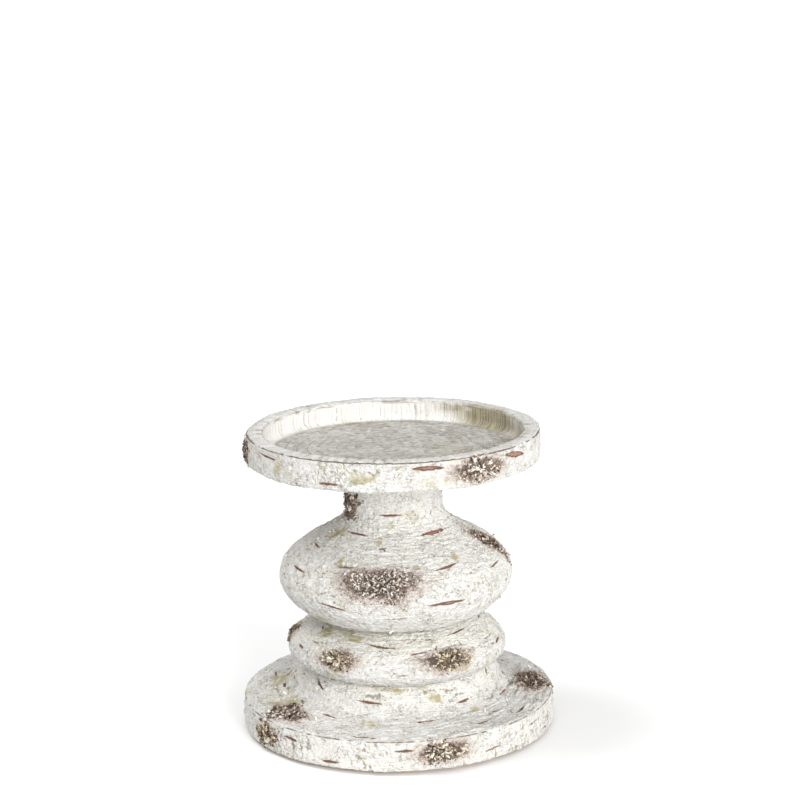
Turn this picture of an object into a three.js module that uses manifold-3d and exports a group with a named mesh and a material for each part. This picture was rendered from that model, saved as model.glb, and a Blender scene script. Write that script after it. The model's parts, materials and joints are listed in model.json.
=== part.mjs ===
// A turned wooden candlestick for one pillar candle, finished like birch bark.
//
// Four turnings stand on each other: a round base, a squat lower bulb, a larger upper bulb that
// narrows to a neck, and a dish with a shallow well for the candle. A bolt from below pulls the
// base and both bulbs together, pairs of dowels stop them turning, and a spigot under the dish is
// glued into the neck. Crumbly bark knots are glued on outside, and felt covers the underside.
//
// Millimetres, +Z up. The origin is on the axis, in the plane that the candlestick stands on.

import * as THREE from "three";
import { mergeVertices } from "three/addons/utils/BufferGeometryUtils.js";
import Module from "manifold-3d";

const wasm = await Module();
wasm.setup();

// ---- Driving dimensions ---------------------------------------------------------------------

// Gap left for glue between two faces that are fixed together.
const GLUE_LINE = 0.3;

// Felt under the base.
const FELT_INSET = 7;
const FELT_THICKNESS = 1.2;

// Base: a low round plate whose top sweeps up to the lower bulb.
const BASE_RADIUS = 65.2;
const BASE_RIM_TAPER = 0.4;
const BASE_RIM_HEIGHT = 12.7;
const BASE_HEIGHT = 26.3;
const BASE_SEAT_RADIUS = 38.4;
const BASE_EDGE = 0.8;
// Pull of the sweep's two ends, as shares of its run inwards and its rise.
const BASE_SWEEP_START = { run: 1.08, rise: 0.13 };
const BASE_SWEEP_END = { run: 0.33, rise: 0.66 };

// Lower bulb.
const LOWER_BULB_RADIUS = 45.5;
const LOWER_BULB_HEIGHT = 19.6;
const LOWER_BULB_WIDEST_AT = 6.2;
const WAIST_RADIUS = 28.2;
// Fullness of a bulb's curve: 0.5 is an ellipse, and a larger number is leaner.
const LOWER_BULB_FULLNESS_BELOW = 0.706;
const LOWER_BULB_FULLNESS_ABOVE = 0.897;

// Upper bulb and the neck turned in one piece with it.
const UPPER_BULB_RADIUS = 48.5;
const UPPER_BULB_WIDEST_AT = 17.7;
const UPPER_BULB_FULLNESS_BELOW = 0.732;
const UPPER_BULB_SHOULDER = 29.1;
// Pull of the shoulder's two ends, as shares of its height.
const SHOULDER_START_PULL = 0.515;
const SHOULDER_END_PULL = 0.366;
const NECK_RADIUS = 19.8;
const NECK_HEIGHT = 20;

// Dish.
const WELL_RADIUS = 53.7;
const WELL_DEPTH = 8.3;
const WELL_FILLET = 3;
const DISH_RIM_WIDTH = 6.8;
const DISH_FLOOR_THICKNESS = 3.7;
const DISH_EDGE = 0.9;

// Spigot under the dish, glued into a socket in the neck.
const SPIGOT_RADIUS = 11;
const SPIGOT_LENGTH = 8;
const SPIGOT_CHAMFER = 1;
const SOCKET_END_CLEARANCE = 1;

// Bolt that ties the base and the bulbs together, with a washer and a threaded insert.
const BOLT_RADIUS = 4;
const BOLT_HEAD_OVERHANG = 2.5;
const BOLT_HEAD_HEIGHT = 8;
const BOLT_SOCKET_RADIUS = 3.4;
const BOLT_SOCKET_DEPTH = 4;
const BOLT_TIP_CHAMFER = 1;
const BOLT_TIP_PAST_INSERT = 0.3;
const BOLT_BORE_CLEARANCE = 0.6;
const BOLT_END_CLEARANCE = 3;
const WASHER_WIDTH = 6.4;
const WASHER_THICKNESS = 1.6;
const COUNTERBORE_CLEARANCE = 1;
const BOLT_HEAD_RECESS = 1.8;
const INSERT_WALL = 1.7;
const INSERT_THREAD_DEPTH = 0.8;
const INSERT_THREADS = 4;
const INSERT_LENGTH = 13;

// Dowels, two in the joint above the base and two in the waist.
const DOWEL_RADIUS = 4;
const DOWEL_LENGTH = 16;
const DOWEL_CHAMFER = 0.8;
const DOWEL_END_CLEARANCE = 0.6;
const DOWEL_EDGE_DISTANCE = 6;

// Bark knots.
const KNOT_RISE = 1.9;
const RIM_KNOT_RISE = 0.9;
const KNOT_FACET = 4.6;
const KNOT_CROWN = [
  [0.92, 0.55],
  [0.6, 0.95],
  [0, 1],
];

// Steps in the round surfaces.
const TURNED_STEPS = 48;
const HARDWARE_STEPS = 16;

// ---- Sizes and heights that follow -----------------------------------------------------------

const FELT_RADIUS = BASE_RADIUS - FELT_INSET;
const DISH_RADIUS = WELL_RADIUS + DISH_RIM_WIDTH;
const DISH_HEIGHT = WELL_DEPTH + DISH_FLOOR_THICKNESS;
const BOLT_HEAD_RADIUS = BOLT_RADIUS + BOLT_HEAD_OVERHANG;
const BOLT_BORE_RADIUS = BOLT_RADIUS + BOLT_BORE_CLEARANCE;
const WASHER_RADIUS = BOLT_BORE_RADIUS + WASHER_WIDTH;
const COUNTERBORE_RADIUS = WASHER_RADIUS + COUNTERBORE_CLEARANCE;
const COUNTERBORE_DEPTH = BOLT_HEAD_RECESS + BOLT_HEAD_HEIGHT + WASHER_THICKNESS + 2 * GLUE_LINE;
const INSERT_BORE_RADIUS = BOLT_RADIUS + GLUE_LINE;
const INSERT_RADIUS = INSERT_BORE_RADIUS + INSERT_WALL;
const DOWEL_HOLE_RADIUS = DOWEL_RADIUS + GLUE_LINE;
const DOWEL_OFFSET = WAIST_RADIUS - DOWEL_EDGE_DISTANCE - DOWEL_HOLE_RADIUS;

const BASE_BOTTOM = FELT_THICKNESS + GLUE_LINE;
const BASE_TOP = BASE_BOTTOM + BASE_HEIGHT;
const LOWER_BULB_BOTTOM = BASE_TOP;
const LOWER_BULB_TOP = LOWER_BULB_BOTTOM + LOWER_BULB_HEIGHT;
const UPPER_BULB_BOTTOM = LOWER_BULB_TOP;
const UPPER_BULB_WIDEST = UPPER_BULB_BOTTOM + UPPER_BULB_WIDEST_AT;
const NECK_BOTTOM = UPPER_BULB_WIDEST + UPPER_BULB_SHOULDER;
const NECK_TOP = NECK_BOTTOM + NECK_HEIGHT;
const DISH_BOTTOM = NECK_TOP;
const COUNTERBORE_ROOF = BASE_BOTTOM + COUNTERBORE_DEPTH;
const BOLT_SHOULDER = COUNTERBORE_ROOF - WASHER_THICKNESS - 2 * GLUE_LINE;
const INSERT_BOTTOM = UPPER_BULB_BOTTOM + 2 * GLUE_LINE;
const INSERT_TOP = INSERT_BOTTOM + INSERT_LENGTH;
const BOLT_TIP = INSERT_TOP + BOLT_TIP_PAST_INSERT;

// ---- Materials -------------------------------------------------------------------------------

const finish = (color, roughness, metalness = 0) => () =>
  new THREE.MeshStandardMaterial({ color, roughness, metalness });

const whitewashedBark = finish(0xe6e2d8, 0.85);
const darkBark = finish(0x5a4a3c, 0.95);
const beech = finish(0xc9a878, 0.7);
const zincSteel = finish(0xa9abad, 0.35, 0.9);
const brass = finish(0xb9954f, 0.35, 0.9);
const greyFelt = finish(0x8d877c, 1);

// ---- Turning, drilling and naming ------------------------------------------------------------

const point = (radius, height) => new THREE.Vector2(radius, height);

// Revolves an outline of (radius, height) points round the Z axis.
function turn(outline, steps = TURNED_STEPS) {
  const geometry = new THREE.LatheGeometry(outline, steps);
  geometry.rotateX(Math.PI / 2);
  return solid(geometry);
}

// A closed solid with shared corners, ready to be cut.
function solid(geometry) {
  geometry.deleteAttribute("normal");
  geometry.deleteAttribute("uv");
  const merged = mergeVertices(geometry, 1e-4);
  return new wasm.Manifold(
    new wasm.Mesh({
      numProp: 3,
      vertProperties: new Float32Array(merged.attributes.position.array),
      triVerts: new Uint32Array(merged.index.array),
    }),
  );
}

// A straight hole or pin along Z between two heights.
function rod(radius, bottom, top, x = 0, y = 0, steps = HARDWARE_STEPS) {
  const geometry = new THREE.CylinderGeometry(radius, radius, top - bottom, steps);
  geometry.rotateX(Math.PI / 2);
  geometry.translate(x, y, (bottom + top) / 2);
  return solid(geometry);
}

function namedMesh(name, body, material) {
  const data = body.getMesh();
  const geometry = new THREE.BufferGeometry();
  geometry.setAttribute("position", new THREE.BufferAttribute(data.vertProperties, 3));
  geometry.setIndex(new THREE.BufferAttribute(data.triVerts, 1));
  const mesh = new THREE.Mesh(geometry, material());
  mesh.name = name;
  return mesh;
}

// ---- Outlines of the turned surfaces ---------------------------------------------------------

// Points from the edge of a bulb to its widest place.
function swell(fromRadius, toRadius, fromHeight, toHeight, fullness, steps) {
  const points = [];
  for (let step = 0; step <= steps; step += 1) {
    const angle = (Math.PI / 2) * (step / steps);
    const radius = fromRadius + (toRadius - fromRadius) * Math.sin(angle) ** (2 * fullness);
    points.push(point(radius, toHeight + (fromHeight - toHeight) * Math.cos(angle)));
  }
  return points;
}

function baseSide() {
  const rim = point(BASE_RADIUS - BASE_RIM_TAPER, BASE_BOTTOM + BASE_RIM_HEIGHT);
  const seat = point(BASE_SEAT_RADIUS, BASE_TOP);
  const run = rim.x - seat.x;
  const rise = seat.y - rim.y;
  const sweep = new THREE.CubicBezierCurve(
    point(rim.x - BASE_EDGE, rim.y),
    point(rim.x - run * BASE_SWEEP_START.run, rim.y + rise * BASE_SWEEP_START.rise),
    point(seat.x + run * BASE_SWEEP_END.run, seat.y - rise * BASE_SWEEP_END.rise),
    seat,
  );
  return [
    point(BASE_RADIUS - BASE_EDGE, BASE_BOTTOM),
    point(BASE_RADIUS, BASE_BOTTOM + BASE_EDGE),
    point(rim.x, rim.y - BASE_EDGE),
    ...sweep.getPoints(8),
  ];
}

function lowerBulbSide() {
  const widest = LOWER_BULB_BOTTOM + LOWER_BULB_WIDEST_AT;
  const bottom = LOWER_BULB_BOTTOM + GLUE_LINE;
  const below = LOWER_BULB_FULLNESS_BELOW;
  const above = LOWER_BULB_FULLNESS_ABOVE;
  const up = swell(BASE_SEAT_RADIUS, LOWER_BULB_RADIUS, bottom, widest, below, 4);
  const over = swell(WAIST_RADIUS, LOWER_BULB_RADIUS, LOWER_BULB_TOP, widest, above, 6);
  return [...up, ...over.reverse().slice(1)];
}

function upperBulbSide() {
  const bottom = UPPER_BULB_BOTTOM + GLUE_LINE;
  const below = UPPER_BULB_FULLNESS_BELOW;
  const up = swell(WAIST_RADIUS, UPPER_BULB_RADIUS, bottom, UPPER_BULB_WIDEST, below, 7);
  const shoulder = new THREE.CubicBezierCurve(
    point(UPPER_BULB_RADIUS, UPPER_BULB_WIDEST),
    point(UPPER_BULB_RADIUS, UPPER_BULB_WIDEST + UPPER_BULB_SHOULDER * SHOULDER_START_PULL),
    point(NECK_RADIUS, NECK_BOTTOM - UPPER_BULB_SHOULDER * SHOULDER_END_PULL),
    point(NECK_RADIUS, NECK_BOTTOM),
  );
  const neckTop = point(NECK_RADIUS, NECK_TOP - GLUE_LINE);
  return [...up, ...shoulder.getPoints(10).slice(1), neckTop];
}

function dishSide() {
  return [
    point(DISH_RADIUS - DISH_EDGE, DISH_BOTTOM),
    point(DISH_RADIUS, DISH_BOTTOM + DISH_EDGE),
    point(DISH_RADIUS, DISH_BOTTOM + DISH_HEIGHT - DISH_EDGE),
    point(DISH_RADIUS - DISH_EDGE, DISH_BOTTOM + DISH_HEIGHT),
  ];
}

// ---- Turned pieces ---------------------------------------------------------------------------

// The two dowel places of a joint, on opposite sides of the bolt.
const baseDowelPlaces = [
  [DOWEL_OFFSET, 0],
  [-DOWEL_OFFSET, 0],
];
const waistDowelPlaces = [
  [0, DOWEL_OFFSET],
  [0, -DOWEL_OFFSET],
];

// Drills the dowel holes of a joint at this height, through both pieces' shares of it.
function drillDowels(body, places, jointHeight) {
  const reach = DOWEL_LENGTH / 2 + DOWEL_END_CLEARANCE;
  const hole = ([x, y]) => rod(DOWEL_HOLE_RADIUS, jointHeight - reach, jointHeight + reach, x, y);
  return places.reduce((drilled, place) => drilled.subtract(hole(place)), body);
}

function base() {
  const outline = [
    point(BOLT_BORE_RADIUS, COUNTERBORE_ROOF),
    point(COUNTERBORE_RADIUS, COUNTERBORE_ROOF),
    point(COUNTERBORE_RADIUS, BASE_BOTTOM),
    ...baseSide(),
    point(BOLT_BORE_RADIUS, BASE_TOP),
    point(BOLT_BORE_RADIUS, COUNTERBORE_ROOF),
  ];
  const joint = BASE_TOP + GLUE_LINE / 2;
  return namedMesh("base", drillDowels(turn(outline), baseDowelPlaces, joint), whitewashedBark);
}

function lowerBulb() {
  const outline = [
    point(BOLT_BORE_RADIUS, LOWER_BULB_BOTTOM + GLUE_LINE),
    ...lowerBulbSide(),
    point(BOLT_BORE_RADIUS, LOWER_BULB_TOP),
    point(BOLT_BORE_RADIUS, LOWER_BULB_BOTTOM + GLUE_LINE),
  ];
  const lowJoint = LOWER_BULB_BOTTOM + GLUE_LINE / 2;
  const highJoint = LOWER_BULB_TOP + GLUE_LINE / 2;
  const drilledBelow = drillDowels(turn(outline), baseDowelPlaces, lowJoint);
  const drilled = drillDowels(drilledBelow, waistDowelPlaces, highJoint);
  return namedMesh("lower_bulb", drilled, whitewashedBark);
}

function upperBulb() {
  const insertHole = INSERT_RADIUS + GLUE_LINE;
  const holeTop = BOLT_TIP + BOLT_END_CLEARANCE;
  const socketRadius = SPIGOT_RADIUS + GLUE_LINE;
  const socketFloor = NECK_TOP - SPIGOT_LENGTH - SOCKET_END_CLEARANCE;
  const outline = [
    point(0, holeTop),
    point(insertHole, holeTop),
    point(insertHole, UPPER_BULB_BOTTOM + GLUE_LINE),
    ...upperBulbSide(),
    point(socketRadius, NECK_TOP - GLUE_LINE),
    point(socketRadius, socketFloor),
    point(0, socketFloor),
  ];
  const joint = UPPER_BULB_BOTTOM + GLUE_LINE / 2;
  const drilled = drillDowels(turn(outline), waistDowelPlaces, joint);
  return namedMesh("upper_bulb", drilled, whitewashedBark);
}

function candleDish() {
  const rimTop = DISH_BOTTOM + DISH_HEIGHT;
  const floor = rimTop - WELL_DEPTH;
  const wellFillet = new THREE.EllipseCurve(
    WELL_RADIUS - WELL_FILLET,
    floor + WELL_FILLET,
    WELL_FILLET,
    WELL_FILLET,
    0,
    -Math.PI / 2,
    true,
  );
  const outline = [
    point(0, DISH_BOTTOM - SPIGOT_LENGTH),
    point(SPIGOT_RADIUS - SPIGOT_CHAMFER, DISH_BOTTOM - SPIGOT_LENGTH),
    point(SPIGOT_RADIUS, DISH_BOTTOM - SPIGOT_LENGTH + SPIGOT_CHAMFER),
    point(SPIGOT_RADIUS, DISH_BOTTOM),
    ...dishSide(),
    point(WELL_RADIUS, rimTop),
    ...wellFillet.getPoints(4),
    point(0, floor),
  ];
  return namedMesh("candle_dish", turn(outline), whitewashedBark);
}

// ---- Hidden hardware -------------------------------------------------------------------------

function tieBolt() {
  const headBottom = BOLT_SHOULDER - BOLT_HEAD_HEIGHT;
  const outline = [
    point(0, headBottom),
    point(BOLT_HEAD_RADIUS, headBottom),
    point(BOLT_HEAD_RADIUS, BOLT_SHOULDER),
    point(BOLT_RADIUS, BOLT_SHOULDER),
    point(BOLT_RADIUS, BOLT_TIP - BOLT_TIP_CHAMFER),
    point(BOLT_RADIUS - BOLT_TIP_CHAMFER, BOLT_TIP),
    point(0, BOLT_TIP),
  ];
  const socketTop = headBottom + BOLT_SOCKET_DEPTH;
  const socket = rod(BOLT_SOCKET_RADIUS, headBottom - GLUE_LINE, socketTop, 0, 0, 6);
  return namedMesh("tie_bolt", turn(outline, HARDWARE_STEPS).subtract(socket), zincSteel);
}

function boltWasher() {
  const top = COUNTERBORE_ROOF - GLUE_LINE;
  const bottom = top - WASHER_THICKNESS;
  const ring = rod(WASHER_RADIUS, bottom, top);
  const hole = rod(BOLT_BORE_RADIUS, bottom - GLUE_LINE, top + GLUE_LINE);
  return namedMesh("bolt_washer", ring.subtract(hole), zincSteel);
}

// A brass insert whose coarse outer thread is drawn as rings.
function threadedInsert() {
  const pitch = INSERT_LENGTH / INSERT_THREADS;
  const outline = [point(INSERT_BORE_RADIUS, INSERT_BOTTOM)];
  for (let thread = 0; thread < INSERT_THREADS; thread += 1) {
    const start = INSERT_BOTTOM + thread * pitch;
    outline.push(point(INSERT_RADIUS - INSERT_THREAD_DEPTH, start));
    outline.push(point(INSERT_RADIUS, start + pitch / 2));
  }
  outline.push(point(INSERT_RADIUS - INSERT_THREAD_DEPTH, INSERT_TOP));
  outline.push(point(INSERT_BORE_RADIUS, INSERT_TOP));
  outline.push(point(INSERT_BORE_RADIUS, INSERT_BOTTOM));
  return namedMesh("threaded_insert", turn(outline, HARDWARE_STEPS), brass);
}

function dowel(name, [x, y], jointHeight) {
  const half = DOWEL_LENGTH / 2;
  const end = DOWEL_RADIUS - DOWEL_CHAMFER;
  const outline = [
    point(0, -half),
    point(end, -half),
    point(DOWEL_RADIUS, DOWEL_CHAMFER - half),
    point(DOWEL_RADIUS, half - DOWEL_CHAMFER),
    point(end, half),
    point(0, half),
  ];
  const body = turn(outline, HARDWARE_STEPS).translate([x, y, jointHeight]);
  return namedMesh(name, body, beech);
}

function dowels(name, places, jointHeight) {
  return places.map((place, index) => dowel(`${name}_${index + 1}`, place, jointHeight));
}

function feltDisc() {
  const disc = rod(FELT_RADIUS, 0, FELT_THICKNESS, 0, 0, TURNED_STEPS);
  return namedMesh("felt_disc", disc, greyFelt);
}

// ---- Bark knots ------------------------------------------------------------------------------

// The place and outward direction on a turned side, at a distance along its outline.
function sideAt(side, distance) {
  let walked = 0;
  let index = 0;
  let stretch = side[0].distanceTo(side[1]);
  while (walked + stretch < distance && index < side.length - 2) {
    walked += stretch;
    index += 1;
    stretch = side[index].distanceTo(side[index + 1]);
  }
  const share = (distance - walked) / stretch;
  const place = side[index].clone().lerp(side[index + 1], share);
  const outwardAt = (corner) => {
    const before = side[Math.max(corner - 1, 0)];
    const after = side[Math.min(corner + 1, side.length - 1)];
    return point(after.y - before.y, before.x - after.x).normalize();
  };
  const outward = outwardAt(index).lerp(outwardAt(index + 1), THREE.MathUtils.clamp(share, 0, 1));
  return { place, outward: outward.normalize() };
}

// The distance along a side to the first place where it passes a height or a radius.
function distanceTo(side, { height, radius }) {
  const passes = (a, b, value) => (a - value) * (b - value) <= 0 && a !== b;
  let walked = 0;
  for (let index = 0; index < side.length - 1; index += 1) {
    const [from, to] = [side[index], side[index + 1]];
    const stretch = from.distanceTo(to);
    if (height !== undefined && passes(from.y, to.y, height)) {
      return walked + (stretch * (height - from.y)) / (to.y - from.y);
    }
    if (radius !== undefined && passes(from.x, to.x, radius)) {
      return walked + (stretch * (radius - from.x)) / (to.x - from.x);
    }
    walked += stretch;
  }
  return walked;
}

// A lumpy dome with an uneven outline. Its flat underside is bent to follow the turned surface
// below it, one glue line clear. Angles run from the front (-Y) towards +X, in degrees.
function barkKnot({ name, side, angle, at, width, length, tilt = 0, rise = KNOT_RISE }) {
  const longest = Math.max(width, length);
  const edges = 2 * Math.ceil(longest / KNOT_FACET);
  const undersideRings = Math.ceil(longest / 2 / KNOT_FACET);
  const outline = [];
  for (let ring = 0; ring <= undersideRings; ring += 1) {
    outline.push(point(ring / undersideRings, 0));
  }
  outline.push(...KNOT_CROWN.map(([spread, lift]) => point(spread, lift)));
  const geometry = new THREE.LatheGeometry(outline, edges);
  const corners = geometry.attributes.position;
  const middle = distanceTo(side, at);
  const middleRadius = sideAt(side, middle).place.x;
  const turnTilt = THREE.MathUtils.degToRad(tilt);
  const turnAngle = THREE.MathUtils.degToRad(angle);
  for (let index = 0; index < corners.count; index += 1) {
    const across = corners.getX(index);
    const along = -corners.getZ(index);
    const lift = corners.getY(index);
    const bearing = Math.atan2(along, across);
    const wobble = 1 + 0.12 * Math.sin(3 * bearing + angle) + 0.08 * Math.sin(5 * bearing - angle);
    const dx = (across * wobble * width) / 2;
    const dy = (along * wobble * length) / 2;
    const shiftAcross = dx * Math.cos(turnTilt) - dy * Math.sin(turnTilt);
    const shiftAlong = dx * Math.sin(turnTilt) + dy * Math.cos(turnTilt);
    const lump = 1 + 0.25 * Math.sin(4 * bearing + across * 6 + angle) * Math.hypot(across, along);
    const height = GLUE_LINE + lift * rise * lump;
    const { place, outward } = sideAt(side, middle + shiftAlong);
    const spin = turnAngle + shiftAcross / middleRadius;
    const radius = place.x + outward.x * height;
    corners.setXYZ(
      index,
      radius * Math.sin(spin),
      -radius * Math.cos(spin),
      place.y + outward.y * height,
    );
  }
  return namedMesh(name, solid(geometry), darkBark);
}

function barkKnots() {
  const rim = baseSide();
  const lower = lowerBulbSide();
  const upper = upperBulbSide();
  const dish = dishSide();
  const rimMiddle = { height: BASE_BOTTOM + BASE_RIM_HEIGHT * 0.55 };
  const onRim = { side: rim, at: rimMiddle, rise: RIM_KNOT_RISE };
  const plateTop = { radius: BASE_RADIUS - 8.5 };
  const dishMiddle = { height: DISH_BOTTOM + DISH_HEIGHT * 0.52 };
  const lowerTop = { height: LOWER_BULB_BOTTOM + LOWER_BULB_HEIGHT * 0.54 };
  const upperFront = { height: UPPER_BULB_WIDEST + UPPER_BULB_SHOULDER * 0.26 };
  const shoulder = { height: UPPER_BULB_WIDEST + UPPER_BULB_SHOULDER * 0.46 };
  const neck = { height: NECK_BOTTOM + NECK_HEIGHT * 0.06 };
  const knots = [
    { name: "dish_knot_left", side: dish, angle: -82, at: dishMiddle, width: 15, length: 9.6 },
    { name: "dish_knot_front", side: dish, angle: 34, at: dishMiddle, width: 22, length: 9.4 },
    { name: "dish_knot_back", side: dish, angle: 152, at: dishMiddle, width: 17, length: 9 },
    { name: "neck_knot_left", side: upper, angle: -72, at: neck, width: 11, length: 12, tilt: 12 },
    { name: "upper_knot_front", side: upper, angle: -8, at: upperFront, width: 33, length: 12.5 },
    { name: "upper_knot_right", side: upper, angle: 81, at: shoulder, width: 9, length: 21, tilt: 14 },
    { name: "upper_knot_back", side: upper, angle: 196, at: upperFront, width: 24, length: 12 },
    { name: "lower_knot_left", side: lower, angle: -94, at: lowerTop, width: 14, length: 9 },
    { name: "lower_knot_front_left", side: lower, angle: -34, at: lowerTop, width: 17, length: 8 },
    { name: "lower_knot_front_right", side: lower, angle: 27, at: lowerTop, width: 22, length: 8.5 },
    { name: "lower_knot_back", side: lower, angle: 140, at: lowerTop, width: 18, length: 8 },
    { name: "base_knot_left", side: rim, angle: -54, at: plateTop, width: 18, length: 12 },
    { name: "base_knot_right", side: rim, angle: 91, at: plateTop, width: 24, length: 12 },
    { name: "base_knot_back", side: rim, angle: 214, at: plateTop, width: 20, length: 11 },
    { name: "rim_knot_left", ...onRim, angle: -56, width: 14, length: 7.5 },
    { name: "rim_knot_front", ...onRim, angle: 16, width: 19, length: 8.5 },
    { name: "rim_knot_back", ...onRim, angle: 168, width: 17, length: 8 },
  ];
  return knots.map(barkKnot);
}

// ---- The whole candlestick -------------------------------------------------------------------

const candlestick = new THREE.Group();
candlestick.add(
  candleDish(),
  upperBulb(),
  lowerBulb(),
  base(),
  feltDisc(),
  tieBolt(),
  boltWasher(),
  threadedInsert(),
  ...dowels("base_dowel", baseDowelPlaces, BASE_TOP + GLUE_LINE / 2),
  ...dowels("waist_dowel", waistDowelPlaces, LOWER_BULB_TOP + GLUE_LINE / 2),
  ...barkKnots(),
);

export default candlestick;
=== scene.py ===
"""Looks for a turned candlestick in whitewashed birch bark.

Each turned piece is spun from its outline into a fine shell, and its surface is then carved in
code: wrinkled fibres, cracked pebbles, flaked layers, sunken bark marks and the swelling round
each knot. The same fields that carve the surface are kept on the mesh as attributes, so the
colours in the materials follow the carving: hollows get painted shade, crests painted highlight,
and the grooves between the pieces painted fill light. Knots are heaps of small crumbs of bark.

Angles run from the front (-Y) towards +X, in degrees. Small sizes are in millimetres and are
turned into metres where they meet the mesh.
"""

import itertools
import json
import math
import random

import bmesh
import bpy
import numpy as np
from mathutils import Euler, Matrix, Vector


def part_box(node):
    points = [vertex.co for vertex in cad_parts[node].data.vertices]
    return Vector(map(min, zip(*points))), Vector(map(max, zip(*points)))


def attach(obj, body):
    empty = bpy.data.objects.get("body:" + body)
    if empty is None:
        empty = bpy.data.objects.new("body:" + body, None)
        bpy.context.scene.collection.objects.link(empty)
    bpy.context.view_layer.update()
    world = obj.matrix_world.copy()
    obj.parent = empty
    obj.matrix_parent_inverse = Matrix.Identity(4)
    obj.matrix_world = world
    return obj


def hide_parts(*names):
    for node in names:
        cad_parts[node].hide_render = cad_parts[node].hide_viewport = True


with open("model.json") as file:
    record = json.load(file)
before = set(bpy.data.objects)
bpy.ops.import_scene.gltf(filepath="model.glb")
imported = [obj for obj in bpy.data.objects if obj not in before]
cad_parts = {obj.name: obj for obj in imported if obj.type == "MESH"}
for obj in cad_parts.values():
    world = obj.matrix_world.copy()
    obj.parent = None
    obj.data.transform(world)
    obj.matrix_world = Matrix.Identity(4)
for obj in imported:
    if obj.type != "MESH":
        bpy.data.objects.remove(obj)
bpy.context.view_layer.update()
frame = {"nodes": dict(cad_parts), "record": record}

MM = 0.001
RANDOM = random.Random(41)

# ---- Sizes from the frame ----------------------------------------------------------------------


def top_of(node):
    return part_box(node)[1].z / MM


def bottom_of(node):
    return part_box(node)[0].z / MM


def radius_of(node):
    low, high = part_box(node)
    return (high.x - low.x) / 2 / MM


def mount_height(name):
    mount = next(m for m in frame["record"]["mounts"] if m["name"] == name)
    return mount["pos_m"][2] / MM


BASE_BOTTOM = bottom_of("base")
BASE_TOP = top_of("base")
BASE_RADIUS = radius_of("base")
BASE_RIM_HEIGHT = 12.7
BASE_RIM_TAPER = 0.4
SEAT_RADIUS = 38.4

LOWER_BOTTOM = bottom_of("lower_bulb")
LOWER_TOP = top_of("lower_bulb")
LOWER_RADIUS = radius_of("lower_bulb")
LOWER_WIDEST = BASE_TOP + 6.2
WAIST_RADIUS = 28.2

UPPER_BOTTOM = bottom_of("upper_bulb")
UPPER_TOP = top_of("upper_bulb")
UPPER_RADIUS = radius_of("upper_bulb")
UPPER_WIDEST = LOWER_TOP + 17.7
NECK_RADIUS = 19.8
NECK_HEIGHT = 20

DISH_RADIUS = radius_of("candle_dish")
DISH_TOP = top_of("candle_dish")
DISH_BOTTOM = DISH_TOP - 12
WELL_RADIUS = 53.7
WELL_FLOOR = mount_height("candle_seat")
WELL_FILLET = 3
SPIGOT_RADIUS = 11
SPIGOT_BOTTOM = bottom_of("candle_dish")

BORE_RADIUS = 4.6
COUNTERBORE_RADIUS = radius_of("bolt_washer") + 1
COUNTERBORE_ROOF = top_of("bolt_washer") + 0.3
INSERT_HOLE_RADIUS = radius_of("threaded_insert") + 0.3
INSERT_HOLE_TOP = top_of("tie_bolt") + 3
SOCKET_RADIUS = SPIGOT_RADIUS + 0.3
SOCKET_FLOOR = SPIGOT_BOTTOM - 1

# ---- Outlines ----------------------------------------------------------------------------------

# Zones of an outline: hidden wood, bark, and cut wood that was washed over.
HIDDEN, BARK, CUT = 0.0, 1.0, 2.0


def swell(from_radius, to_radius, from_height, to_height, fullness, steps=40):
    """Points from the edge of a bulb to its widest place."""
    angles = np.linspace(0, math.pi / 2, steps + 1)
    radii = from_radius + (to_radius - from_radius) * np.sin(angles) ** (2 * fullness)
    heights = to_height + (from_height - to_height) * np.cos(angles)
    return list(zip(radii, heights))


def bezier(start, pull_start, pull_end, end, steps=60):
    shares = np.linspace(0, 1, steps + 1)[:, None]
    corners = [np.array(corner) for corner in (start, pull_start, pull_end, end)]
    weights = (
        (1 - shares) ** 3,
        3 * (1 - shares) ** 2 * shares,
        3 * (1 - shares) * shares**2,
        shares**3,
    )
    return [tuple(p) for p in sum(w * c for w, c in zip(weights, corners))]


def rounded(centre, radius, from_degrees, to_degrees, steps=5):
    angles = np.radians(np.linspace(from_degrees, to_degrees, steps + 1))
    return [(centre[0] + radius * math.cos(a), centre[1] + radius * math.sin(a)) for a in angles]


def evenly(outline, spacing):
    """The same outline with points no further apart than the spacing."""
    points = [outline[0]]
    pending = 0.0
    for start, end in zip(outline, outline[1:]):
        length = math.dist(start, end)
        if length >= spacing:
            count = math.ceil(length / spacing)
            step = (np.array(end) - np.array(start)) / count
            points += [tuple(np.array(start) + step * k) for k in range(1, count + 1)]
            pending = 0.0
            continue
        pending += length
        if pending >= spacing * 0.75:
            points.append(end)
            pending = 0.0
    if points[-1] != outline[-1]:
        points.append(outline[-1])
    return points


def base_side():
    rim_top = BASE_BOTTOM + BASE_RIM_HEIGHT
    rim_radius = BASE_RADIUS - BASE_RIM_TAPER
    run = rim_radius - SEAT_RADIUS
    rise = BASE_TOP - rim_top
    sweep = bezier(
        (rim_radius - 0.8, rim_top),
        (rim_radius - run * 1.08, rim_top + rise * 0.13),
        (SEAT_RADIUS + run * 0.33, BASE_TOP - rise * 0.66),
        (SEAT_RADIUS, BASE_TOP),
    )
    foot = rounded((BASE_RADIUS - 1, BASE_BOTTOM + 1), 1, -90, 0)
    edge = rounded((rim_radius - 0.8, rim_top - 0.8), 0.8, 0, 90)
    return foot + edge + sweep[1:]


def lower_side():
    up = swell(SEAT_RADIUS, LOWER_RADIUS, LOWER_BOTTOM, LOWER_WIDEST, 0.706)
    over = swell(WAIST_RADIUS, LOWER_RADIUS, LOWER_TOP, LOWER_WIDEST, 0.897)
    return up + over[-2::-1]


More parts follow.
